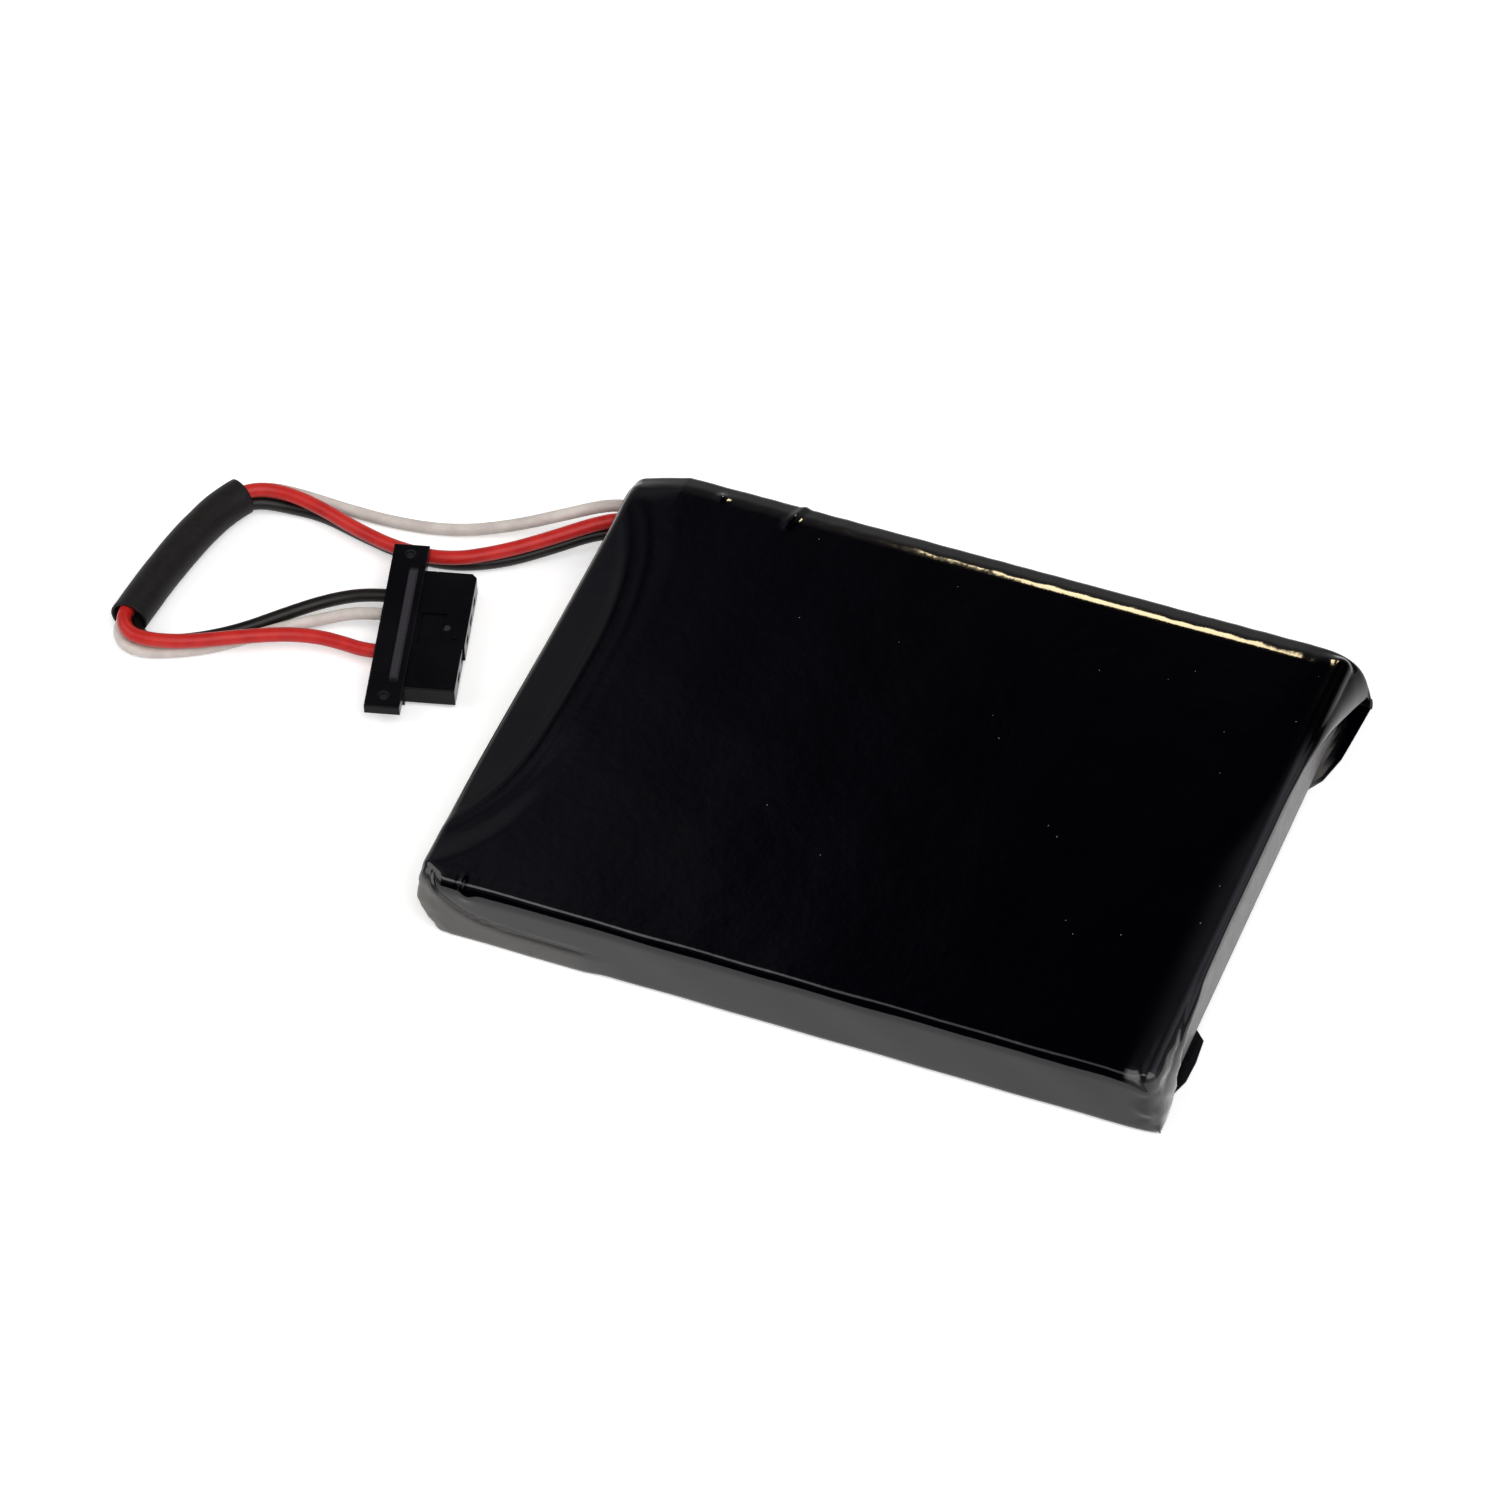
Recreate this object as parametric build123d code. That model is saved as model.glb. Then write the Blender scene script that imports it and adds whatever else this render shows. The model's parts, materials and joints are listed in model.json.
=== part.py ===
from build123d import *
import os
from math import floor, pi, radians, sin, sqrt, tan

# Single-cell lithium-polymer pack. A wound pouch cell with its protection board on the terrace sits in a
# shrunk black film sleeve. Three leads leave the closed end, pass through a short plastic sleeve and end
# in a flat five-way connector. Origin: centre of the pack's underside. +X: towards the open end of the
# film. +Y: towards the side where the leads leave. +Z: up. Millimetres.

# ---- film sleeve ----
pack_length = 51.0
pack_width = 41.0
pack_height = 4.95
film_wall = 0.12
film_gap = 0.05            # shrunk film to what it wraps
front_edge_radius = 0.9
back_edge_radius = 0.55
back_slope_reach = 1.7     # the film's top falls away towards this edge over that width
back_slope_drop = 0.38
bottom_edge_radius = 0.8
end_edge_radius = 0.7
dip_depth = 0.6            # how far the film sinks over the terrace, at the middle of the closed end
dip_reach = 3.0            # how far that sunken facet reaches from the closed end
end_lip = 0.8              # film turned down over the cell's end face
end_ear_top = 6.0          # width of the film ear left at each corner of the open end, at its top
end_ear_bottom = 3.6       # the same at its foot
end_ear_radius = 1.0       # between an ear and the lip
mouth_margin = 0.3         # film mouth to the leads that leave through it

# ---- pouch cell ----
laminate = 0.15            # aluminium laminate of the pouch
terrace_length = 3.9       # top seal, in front of the cup
cell_end_gap = 0.65        # free edge of the terrace to the film's end wall
front_cup_radius = 0.8
back_cup_radius = 1.0
cup_end_radius = 0.8
seal_fold_height = 2.5     # folded side seal, up from the pouch's underside
seal_fold_gap = 0.04       # folded side seal to the cup wall
tab_width = 4.0
tab_thickness = 0.10
tab_spacing = 20.0         # between the two tabs' centres
tab_sealant = 0.04         # polymer film on each face of a tab
sealant_margin = 0.8       # sealant beyond the tab's edges
tab_bend_radius = 0.3

# ---- wound core ----
anode_thickness = 0.16
cathode_thickness = 0.14
separator_thickness = 0.05
winding_gap = 0.005
core_radius = 0.12         # half height of the flat mandrel space
core_clearance = 0.10      # winding to the pouch, above and below
core_side_gap = 0.25       # winding to the pouch, at each side
head_space = 1.3           # winding to the cup wall at the tab end, where the tabs bend
tail_space = 0.5           # winding to the pouch at the other end
separator_overhang = 0.4   # separator beyond the electrodes at each end
core_tape_thickness = 0.04
core_tape_width = 14.0

# ---- protection board ----
board_length = 35.4
board_width = 3.5
board_thickness = 0.6
board_edge_gap = 0.12      # board to the cup wall
board_end_gap = 0.9        # board's end to the film, on the lead side
terrace_tape_thickness = 0.06
weld_plate_length = 4.6
weld_plate_width = 2.5
weld_plate_thickness = 0.15
mosfet_size = (3.0, 4.4, 1.0)      # along X, along Y, height
mosfet_pins = 4                    # on each side
mosfet_pitch = 0.65
ic_size = (2.9, 1.6, 1.0)
ic_pins = 3
ic_pitch = 0.95
pin_reach = 0.6                    # pins beyond the moulded body
pin_width = 0.28
pin_thickness = 0.15
chip_size = (1.6, 0.8, 0.45)
component_gap = 1.0                # between the two moulded packages, and to the resistors
chip_gap = 0.5
board_tape_thickness = 0.06
board_tape_clearance = 0.08
pad_thickness = 0.04
pad_width = 0.8
solder_radius = 0.4
solder_top_radius = 0.22
solder_height = 0.5

# ---- leads ----
red_diameter = 1.00
black_diameter = 0.92
white_diameter = 0.86
strand_share = 0.5         # stranded conductor's diameter as a share of the insulation's
strip_length = 1.1         # bare conductor at each end of a lead
sleeve_outer_diameter = 2.68
sleeve_bore = 2.32

# ---- connector ----
ways = 5
way_pitch = 1.7
lead_ways = {"black": 4, "white": 3, "red": 1}
flange_length = 14.8
flange_depth = 2.42
flange_height = 2.0
ear_length = 1.95
ear_thickness = 0.8
ear_dimple_diameter = 0.7
ear_dimple_depth = 0.2
rib_width = 0.5
rib_height = 0.12
rib_back_gap = 1.35        # rib to the back edge of the flange
body_length = 10.7
body_reach = 3.55          # body beyond the flange
body_height = 1.5
body_foot = 0.25           # underside of the body above the flange's underside
body_chamfer = 0.4
body_edge_radius = 0.12
window_length = 3.05       # shallow window over the middle ways
window_reach = 1.7
window_depth = 0.12
window_edge_gap = 1.55     # window to the mating face
nub_size = (0.5, 0.6, 0.16)
key_length = 4.1           # stretch of the mating face that stands back beside the red way
key_depth = 0.12
lead_bore_clearance = 0.06
cavity_width = 1.1
cavity_height = 0.95
slot_width = 0.8
slot_height = 0.55
slot_lip = 0.5             # wall between a contact cavity and the mating face
lead_bore_depth = 1.0
lead_insertion = 0.85      # insulated lead inside its bore
contact_plate = 0.15
barrel_length = 1.1
contact_clearance = 0.06
connector_place = (-11.19, -18.19)   # from the pack's corner, as the leads' routes
connector_turn = 15.0      # mating direction, anticlockwise from +X
connector_tilt = 2.7       # the far ear rests on the leads
connector_floor = 0.02

# ---- routes of the free leads and of their sleeve: corner points, chosen by hand ----
# They are given from the floor under the pack's corner at the closed end, on the lead side.
sleeve_route = [
    (-26.50, -9.90, 1.35), (-27.30, -11.40, 1.35), (-27.95, -14.20, 1.35), (-28.45, -17.60, 1.35),
    (-28.73, -20.80, 1.35), (-28.85, -23.40, 1.35),
]
red_route = [
    (1.30, -3.05, 1.90), (-0.40, -3.63, 2.60), (-2.25, -4.72, 2.42), (-4.70, -6.64, 1.97),
    (-7.50, -8.80, 1.64), (-10.70, -10.60, 1.41), (-14.20, -10.82, 1.36), (-17.70, -10.10, 1.38),
    (-20.80, -9.10, 1.45), (-23.40, -8.75, 1.62), (-25.30, -9.15, 1.82), (-26.58, -10.30, 1.94),
    (-27.45, -12.40, 1.94), (-28.03, -15.20, 1.93), (-28.52, -18.20, 1.93), (-28.86, -21.10, 1.93),
    (-29.04, -22.80, 1.93), (-28.98, -24.12, 1.87), (-27.92, -25.12, 1.75), (-26.10, -24.92, 1.62),
    (-23.75, -23.98, 1.52), (-21.10, -22.46, 1.47), (-18.40, -21.08, 1.42), (-16.20, -20.40, 1.32),
    (-14.40, -20.25, 1.21), (-12.67, -20.34, 1.19), (-11.10, -19.92, 1.19),
]
black_route = [
    (1.30, -4.45, 1.85), (-0.35, -4.08, 1.60), (-2.25, -4.64, 1.42), (-4.70, -6.58, 0.96),
    (-7.50, -8.75, 0.62), (-10.70, -10.15, 0.47), (-14.20, -10.28, 0.47), (-17.70, -9.60, 0.47),
    (-20.80, -8.80, 0.47), (-23.40, -9.00, 0.56), (-25.35, -9.50, 0.84), (-26.48, -10.65, 0.96),
    (-27.15, -12.70, 0.98), (-27.55, -15.20, 0.98), (-28.00, -18.10, 0.98), (-28.27, -20.85, 0.98),
    (-28.34, -22.40, 0.97), (-28.36, -23.55, 0.92), (-27.43, -24.26, 0.74), (-26.10, -23.82, 0.52),
    (-24.80, -23.18, 0.47), (-23.15, -22.15, 0.47), (-21.35, -20.65, 0.50), (-19.50, -18.75, 0.64),
    (-17.60, -17.05, 0.86), (-15.80, -16.00, 1.17), (-14.06, -15.44, 1.43), (-12.42, -15.00, 1.43),
]
white_route = [
    (1.30, -1.95, 1.85), (-0.20, -1.90, 2.15), (-2.20, -2.45, 2.20), (-4.80, -4.00, 1.75),
    (-8.10, -5.65, 0.98), (-11.70, -7.00, 0.46), (-15.70, -7.70, 0.44), (-19.70, -7.70, 0.44),
    (-23.00, -7.60, 0.56), (-25.30, -8.00, 0.85), (-26.80, -9.25, 0.98), (-27.78, -11.30, 0.98),
    (-28.45, -14.30, 0.98), (-28.92, -17.60, 0.98), (-29.22, -20.80, 0.98), (-29.36, -22.80, 0.97),
    (-29.30, -24.22, 0.86), (-28.38, -25.28, 0.66), (-26.95, -25.18, 0.46), (-25.22, -24.49, 0.44),
    (-23.00, -23.26, 0.44), (-20.92, -21.43, 0.45), (-18.50, -19.32, 0.56), (-16.60, -18.22, 0.82),
    (-15.10, -17.48, 1.15), (-13.53, -17.06, 1.35), (-11.98, -16.64, 1.35),
]

lead_routes = {"red": red_route, "black": black_route, "white": white_route}
lead_diameters = {"red": red_diameter, "black": black_diameter, "white": white_diameter}

# ---- derived levels and planes ----
cell_inset = film_wall + film_gap
closed_end = -pack_length / 2
open_end = pack_length / 2
lead_corner = Pos(closed_end, pack_width / 2, 0)
cell_floor = cell_inset
cell_top = pack_height - cell_inset
cell_half_width = pack_width / 2 - cell_inset
cell_end = open_end - cell_inset
seal_thickness = 2 * laminate
terrace_edge = closed_end + cell_inset + cell_end_gap
cup_start = terrace_edge + terrace_length
cup_half_width = cell_half_width - seal_thickness - seal_fold_gap
seal_top = cell_floor + seal_fold_height
terrace_top = cell_floor + seal_thickness
sealed_slot = tab_thickness + 2 * tab_sealant
tab_level = cell_floor + laminate + sealed_slot / 2
bump_top = tab_level + sealed_slot / 2 + laminate
board_floor = bump_top + terrace_tape_thickness
board_top = board_floor + board_thickness
board_far_edge = cup_start - board_edge_gap
board_near_edge = board_far_edge - board_width
board_back_end = cell_half_width - board_end_gap
board_front_end = board_back_end - board_length
board_middle_x = (board_far_edge + board_near_edge) / 2
tab_fold_x = terrace_edge - tab_bend_radius
tab_landing = board_top + weld_plate_thickness + tab_thickness / 2
core_start = cup_start + laminate + head_space
core_end = cell_end - laminate - tail_space
core_middle_z = (cell_floor + cell_top) / 2
core_half_height = (cell_top - cell_floor) / 2 - laminate - core_clearance
tab_positions = {"negative": -tab_spacing / 2, "positive": tab_spacing / 2}
chip_step = chip_size[1] + chip_gap
ic_y = mosfet_size[1] / 2 + pin_reach + component_gap + pin_reach + ic_size[1] / 2
resistor_y = -(mosfet_size[1] / 2 + pin_reach + component_gap + chip_size[1] / 2)
capacitor_y = -(tab_spacing / 2 + weld_plate_length / 2 + chip_gap + chip_size[0] / 2)
thermistor_y = tab_spacing / 2 + weld_plate_length / 2 + chip_gap + chip_size[1] / 2
lead_axis_height = body_foot + body_height / 2
lead_bore = red_diameter + 2 * lead_bore_clearance
cavity_start = -flange_depth / 2 + lead_bore_depth
cavity_end = flange_depth / 2 + body_reach - slot_lip
lead_end = -flange_depth / 2 + lead_insertion
barrel_end = lead_end + barrel_length
FLAT = (Align.CENTER, Align.CENTER, Align.MIN)


def box_between(low, high):
    """A box given by two opposite corners."""
    size = [b - a for a, b in zip(low, high)]
    return Pos(*low) * Box(*size, align=(Align.MIN,) * 3)


def section_face(half_width, low, high, slope_reach, slope_drop, front_radius, back_radius, foot_radius):
    """The section across X: flat, falling away towards the back top edge, each edge with its radius."""
    outline = Polyline((-half_width, low), (half_width, low), (half_width, high - slope_drop),
                       (half_width - slope_reach, high), (-half_width, high), close=True)
    face = make_face(Plane.YZ * outline)
    face = fillet(face.vertices().filter_by(lambda v: v.Z > high - 1e-4 and v.Y < 0), front_radius)
    back = face.vertices().filter_by(lambda v: v.Y > half_width - 1e-4).sort_by(Axis.Z)[-1]
    face = fillet(back, back_radius)
    return fillet(face.vertices().filter_by(lambda v: v.Z < low + 1e-4), foot_radius)


def film_form(inset):
    """Closed solid of the wrapped pack's form, inset from its outer skin."""
    face = section_face(pack_width / 2 - inset, inset, pack_height - inset,
                        back_slope_reach, back_slope_drop, front_edge_radius - inset,
                        back_edge_radius - inset, bottom_edge_radius - inset)
    body = Pos(closed_end + inset, 0, 0) * extrude(face, pack_length - 2 * inset)
    ends = body.edges().filter_by(lambda e: abs(abs(e.center().X) - pack_length / 2 + inset) < 1e-3)
    body = fillet(ends, end_edge_radius - inset)
    return body - terrace_dip(inset)


def terrace_dip(inset):
    """Cone whose flank is the lens-shaped facet where the film sinks over the terrace."""
    sag = pack_width / 2
    rim_radius = (sag ** 2 + dip_reach ** 2) / (2 * dip_reach)
    slope = dip_depth / dip_reach
    drop = inset * sqrt(1 + slope ** 2)
    below = 2 * dip_depth
    above = pack_height
    cone = Cone(rim_radius - below / slope, rim_radius + above / slope, below + above, align=FLAT)
    return Pos(closed_end + dip_reach - rim_radius, 0, pack_height - below - drop) * cone


def lead_mouth():
    """Opening in the closed end that the three leads leave through."""
    crossings = [route[1] for route in lead_routes.values()]
    radius = red_diameter / 2 + mouth_margin
    low_y = min(p[1] for p in crossings) - radius
    high_y = max(p[1] for p in crossings) + red_diameter / 2
    low_z = min(p[2] for p in crossings) - radius
    high_z = max(p[2] for p in crossings) + radius
    opening = RectangleRounded(high_y - low_y, high_z - low_z, radius)
    face = Plane.YZ * Pos((low_y + high_y) / 2, (low_z + high_z) / 2) * opening
    return lead_corner * Pos(-end_edge_radius, 0, 0) * extrude(face, 3 * end_edge_radius, dir=(1, 0, 0))


def open_end_window():
    """Opening at the cell's end: the film keeps a lip along the top and an ear at each corner."""
    top = pack_height - end_lip
    half_top = pack_width / 2 - end_ear_top
    half_foot = pack_width / 2 - end_ear_bottom
    outline = Polyline((-half_foot, film_wall), (half_foot, film_wall), (half_top, top), (-half_top, top),
                       close=True)
    face = make_face(Plane.YZ * outline)
    face = fillet(face.vertices().filter_by(lambda v: v.Z > top - 1e-4), end_ear_radius)
    return Pos(open_end - end_edge_radius, 0, 0) * extrude(face, 3 * end_edge_radius, dir=(1, 0, 0))


def wrap_film():
    return film_form(0) - film_form(film_wall) - lead_mouth() - open_end_window()


def cup_form(inset):
    """Deep-drawn cup of the pouch, inset from its outer skin."""
    foot_radius = bottom_edge_radius - cell_inset - inset / 2
    slope_reach = back_slope_reach - (cell_half_width - cup_half_width)
    face = section_face(cup_half_width - inset, cell_floor + inset, cell_top - inset,
                        slope_reach, back_slope_drop, front_cup_radius - inset,
                        back_cup_radius - inset, foot_radius)
    body = Pos(cup_start + inset, 0, 0) * extrude(face, cell_end - cup_start - 2 * inset)
    rims = body.edges().filter_by(lambda e: e.center().X > cell_end - inset - 1e-3)
    return fillet(rims, cup_end_radius - inset)


def side_seals():
    """The pouch's side seals, folded up along both sides of the cup."""
    length = cell_end - cup_end_radius - cup_start
    seals = Part()
    for side in (-1, 1):
        outer_y = side * cell_half_width
        inner_y = side * (cell_half_width - seal_thickness)
        root_y = side * (cup_half_width - 2 * bottom_edge_radius)
        bend = bottom_edge_radius - cell_inset
        outline = Polyline((root_y, cell_floor), (outer_y, cell_floor), (outer_y, seal_top),
                           (inner_y, seal_top), (inner_y, cell_floor + laminate),
                           (root_y, cell_floor + laminate), close=True)
        face = make_face(Plane.YZ * outline)
        foot = face.vertices().filter_by(lambda v: v.Z < cell_floor + 1e-4).sort_by(lambda v: -abs(v.Y))[:1]
        seals += Pos(cup_start, 0, 0) * extrude(fillet(foot, bend), length, dir=(1, 0, 0))
    return seals


def terrace():
    """The flat top seal, with a raised band where each tab passes between the two layers."""
    half_width = cell_half_width - bottom_edge_radius
    plate = box_between((terrace_edge, -half_width, cell_floor),
                        (cup_start + laminate, half_width, terrace_top))
    for y in tab_positions.values():
        half_band = tab_width / 2 + sealant_margin + laminate
        band = box_between((terrace_edge, y - half_band, cell_floor),
                           (cup_start + laminate, y + half_band, bump_top))
        shoulders = band.edges().filter_by(Axis.X).group_by(Axis.Z)[-1]
        plate += chamfer(shoulders, laminate)
    return plate


def tab_slot(y):
    half_slot = tab_width / 2 + sealant_margin
    low = (terrace_edge, y - half_slot, tab_level - sealed_slot / 2)
    high = (cup_start + 2 * laminate, y + half_slot, tab_level + sealed_slot / 2)
    return box_between(low, high)


def pouch():
    shell = cup_form(0) + side_seals() + terrace() - cup_form(laminate)
    for y in tab_positions.values():
        shell -= tab_slot(y)
    return shell


def winding_levels(first_radius, pitch, half_turns):
    """Heights of the flat runs of a flattened spiral, above and below the core's middle in turn."""
    return [(first_radius + k * pitch / 2) * (-1) ** k for k in range(half_turns + 1)]


def spiral_edges(levels, half_run):
    """Flat runs joined by half circles whose centres alternate by a quarter pitch."""
    edges = []
    for k, (level, following) in enumerate(zip(levels, levels[1:])):
        side = 1 if k % 2 == 0 else -1
        middle, radius = (level + following) / 2, abs(level - following) / 2
        edges.append(Line((-side * half_run, level), (side * half_run, level)))
        bulge = (side * (half_run + radius), middle)
        edges.append(ThreePointArc((side * half_run, level), bulge, (side * half_run, following)))
    return edges


def wound_strip(offset, thickness, start, end, pitch, half_turns, half_run):
    """One strip of the winding, wound from the mandrel outwards."""
    inner = winding_levels(core_radius + offset, pitch, half_turns)
    outer = winding_levels(core_radius + offset + thickness, pitch, half_turns)
    inner_edges = spiral_edges(inner, half_run)
    outer_edges = spiral_edges(outer, half_run)
    first = Line(inner_edges[0] @ 0, outer_edges[0] @ 0)
    last = Line(inner_edges[-1] @ 1, outer_edges[-1] @ 1)
    outline = Curve() + inner_edges + outer_edges + [first, last]
    face = make_face(Plane.YZ * outline)
    return Pos(start, 0, core_middle_z) * extrude(face, end - start)


def winding():
    """Anode, separator, cathode and separator wound together round a flat mandrel space."""
    pitch = anode_thickness + cathode_thickness + 2 * separator_thickness + 4 * winding_gap
    half_turns = floor(2 * (core_half_height - core_radius - pitch) / pitch)
    half_run = cup_half_width - laminate - core_side_gap - core_half_height
    anode_offset = 0
    inner_offset = anode_offset + anode_thickness + winding_gap
    cathode_offset = inner_offset + separator_thickness + winding_gap
    outer_offset = cathode_offset + cathode_thickness + winding_gap
    shared = (pitch, half_turns, half_run)
    electrode = (core_start + separator_overhang, core_end - separator_overhang)
    pieces = {
        "anode_strip": wound_strip(anode_offset, anode_thickness, *electrode, *shared),
        "cathode_strip": wound_strip(cathode_offset, cathode_thickness, *electrode, *shared),
    }
    separators = [wound_strip(offset, separator_thickness, core_start, core_end, *shared)
                  for offset in (inner_offset, outer_offset)]
    pieces["separator_strips"] = Compound(children=separators)
    outer_radius = core_radius + outer_offset + separator_thickness + half_turns * pitch / 2
    return pieces, outer_radius, half_run, half_turns


def core_tape(outer_radius, half_run, half_turns):
    """Strip that holds the outer end of the winding down, on the side where the winding ends."""
    side = 1 if half_turns % 2 == 0 else -1
    level = core_middle_z + side * outer_radius
    low_z, high_z = sorted((level, level + side * core_tape_thickness))
    centre_y = side * (half_run - core_tape_width / 2)
    low = (core_start + separator_overhang, centre_y - core_tape_width / 2, low_z)
    high = (core_end - separator_overhang, centre_y + core_tape_width / 2, high_z)
    return box_between(low, high)


def tab(y, run_level):
    """One tab: out of the winding, down, through the top seal, and folded back onto its weld plate."""
    start = core_start + separator_overhang
    drop = cup_start + laminate + head_space / 2
    landing = board_middle_x + weld_plate_width / 2
    points = [(start, y, run_level), (drop, y, run_level), (drop, y, tab_level), (tab_fold_x, y, tab_level),
              (tab_fold_x, y, tab_landing), (landing, y, tab_landing)]
    path = FilletPolyline(*points, radius=tab_bend_radius)
    start_plane = Plane(origin=points[0], x_dir=(0, 1, 0), z_dir=(-1, 0, 0))
    section = start_plane * Rectangle(tab_width, tab_thickness)
    return sweep(section, path=path)


def tab_seals():
    """Sealant film on both faces of each tab, as long as the terrace."""
    films = []
    for y in tab_positions.values():
        half_width = tab_width / 2 + sealant_margin
        for low, high in ((-sealed_slot / 2, -tab_thickness / 2), (tab_thickness / 2, sealed_slot / 2)):
            films.append(box_between((terrace_edge, y - half_width, tab_level + low),
                                     (cup_start + laminate, y + half_width, tab_level + high)))
    return Compound(children=films)


def terrace_tape():
    half_width = cell_half_width - bottom_edge_radius
    return box_between((terrace_edge, -half_width, bump_top),
                       (board_far_edge, half_width, bump_top + terrace_tape_thickness))


def lead_pads():
    """Copper pads in line with the leads, as (centre, size)."""
    corner = lead_corner.position
    ends = [(corner.X + route[0][0], corner.Y + route[0][1]) for route in lead_routes.values()]
    return [((x + strip_length / 2, y), (strip_length, pad_width)) for x, y in ends]


def protection_board():
    board = box_between((board_near_edge, board_front_end, board_floor),
                        (board_far_edge, board_back_end, board_top))
    board = fillet(board.edges().filter_by(Axis.Z), board_thickness / 2)
    for (x, y), (length, width) in lead_pads():
        board += Pos(x, y, board_top) * Box(length, width, pad_thickness, align=FLAT)
    return board


def weld_plates():
    plate = Box(weld_plate_width, weld_plate_length, weld_plate_thickness, align=FLAT)
    return Compound(children=[Pos(board_middle_x, y, board_top) * plate for y in tab_positions.values()])


def leaded_package(size, pins, pitch, y):
    """A moulded chip package with gull-wing pins on its two long sides, standing on the board."""
    length, width, height = size
    body = Pos(0, 0, pin_thickness / 2) * Box(length, width, height, align=FLAT)
    body = chamfer(body.edges().group_by(Axis.Z)[-1], pin_thickness)
    root = (Align.CENTER, Align.MIN, Align.MIN)
    pin = Box(pin_width, pin_thickness + pin_reach, pin_thickness, align=root)
    for k in range(pins):
        x = (k - (pins - 1) / 2) * pitch
        for side in (-1, 1):
            turn = Rot(0, 0, 0 if side == 1 else 180)
            body += Pos(x, side * (width / 2 - pin_thickness), 0) * turn * pin
    return Pos(board_middle_x, y, board_top) * body


def chip_part(y, x_offset=0, turn=0):
    """A chip resistor, capacitor or thermistor, lying across the board unless it is turned."""
    return Pos(board_middle_x + x_offset, y, board_top) * Rot(0, 0, turn) * Box(*chip_size, align=FLAT)


def board_tape():
    """Insulating tape over the board's parts and down the outer side of the folded tabs."""
    top = board_top + pin_thickness / 2 + max(mosfet_size[2], ic_size[2]) + board_tape_clearance
    outer_x = tab_fold_x - tab_thickness / 2 - board_tape_clearance
    lead_side = pack_width / 2 + min(route[0][1] for route in lead_routes.values()) - black_diameter
    over = box_between((outer_x - board_tape_thickness, board_front_end, top),
                       (board_far_edge, lead_side, top + board_tape_thickness))
    down = box_between((outer_x - board_tape_thickness, board_front_end, terrace_top),
                       (outer_x, lead_side, top + board_tape_thickness))
    return over + down


def route_radii(route):
    """Bend radii of a route: each arc takes 0.45 of the shorter of its two runs."""
    points = [Vector(*p) for p in route]
    radii = []
    for before, corner, after in zip(points, points[1:], points[2:]):
        arriving, leaving = corner - before, after - corner
        turn = radians(arriving.get_angle(leaving))
        radii.append(0.45 * min(arriving.length, leaving.length) / tan(turn / 2))
    return radii


def tube(name, route, outer_diameter, bore=0):
    """A round tube along a route of straight runs joined by tangent arcs."""
    radii = route_radii(route)
    path = lead_corner * Wire(FilletPolyline(*route, radius=radii).edges())
    face = Circle(outer_diameter / 2)
    if bore:
        face -= Circle(bore / 2)
    solid = sweep(Plane(origin=path @ 0, z_dir=path % 0) * face, path=path)
    expected = pi / 4 * (outer_diameter ** 2 - bore ** 2) * path.length
    print(name, "length", round(path.length, 1), "volume / expected", round(solid.volume / expected, 4))
    print("  radii", [round(r, 1) for r in radii])
    return solid


def strand(start, end, diameter):
    """A bare stranded conductor between two points."""
    line = Line(start, end)
    return sweep(Plane(origin=start, z_dir=line % 0) * Circle(diameter / 2), path=line)


def board_strand(colour):
    """The bare conductor from a lead's end down to its pad."""
    x, y, z = lead_routes[colour][0]
    diameter = lead_diameters[colour] * strand_share
    pad_top = board_top + pad_thickness
    return lead_corner * strand((x, y, z), (x + strip_length, y, pad_top + diameter / 2), diameter)


def solder_joint(colour, wire):
    """A solder cone round the bare conductor on its pad."""
    x, y, z = lead_routes[colour][0]
    cone = Cone(solder_radius, solder_top_radius, solder_height, align=FLAT)
    return lead_corner * Pos(x + strip_length / 2, y, board_top + pad_thickness) * cone - wire


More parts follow.
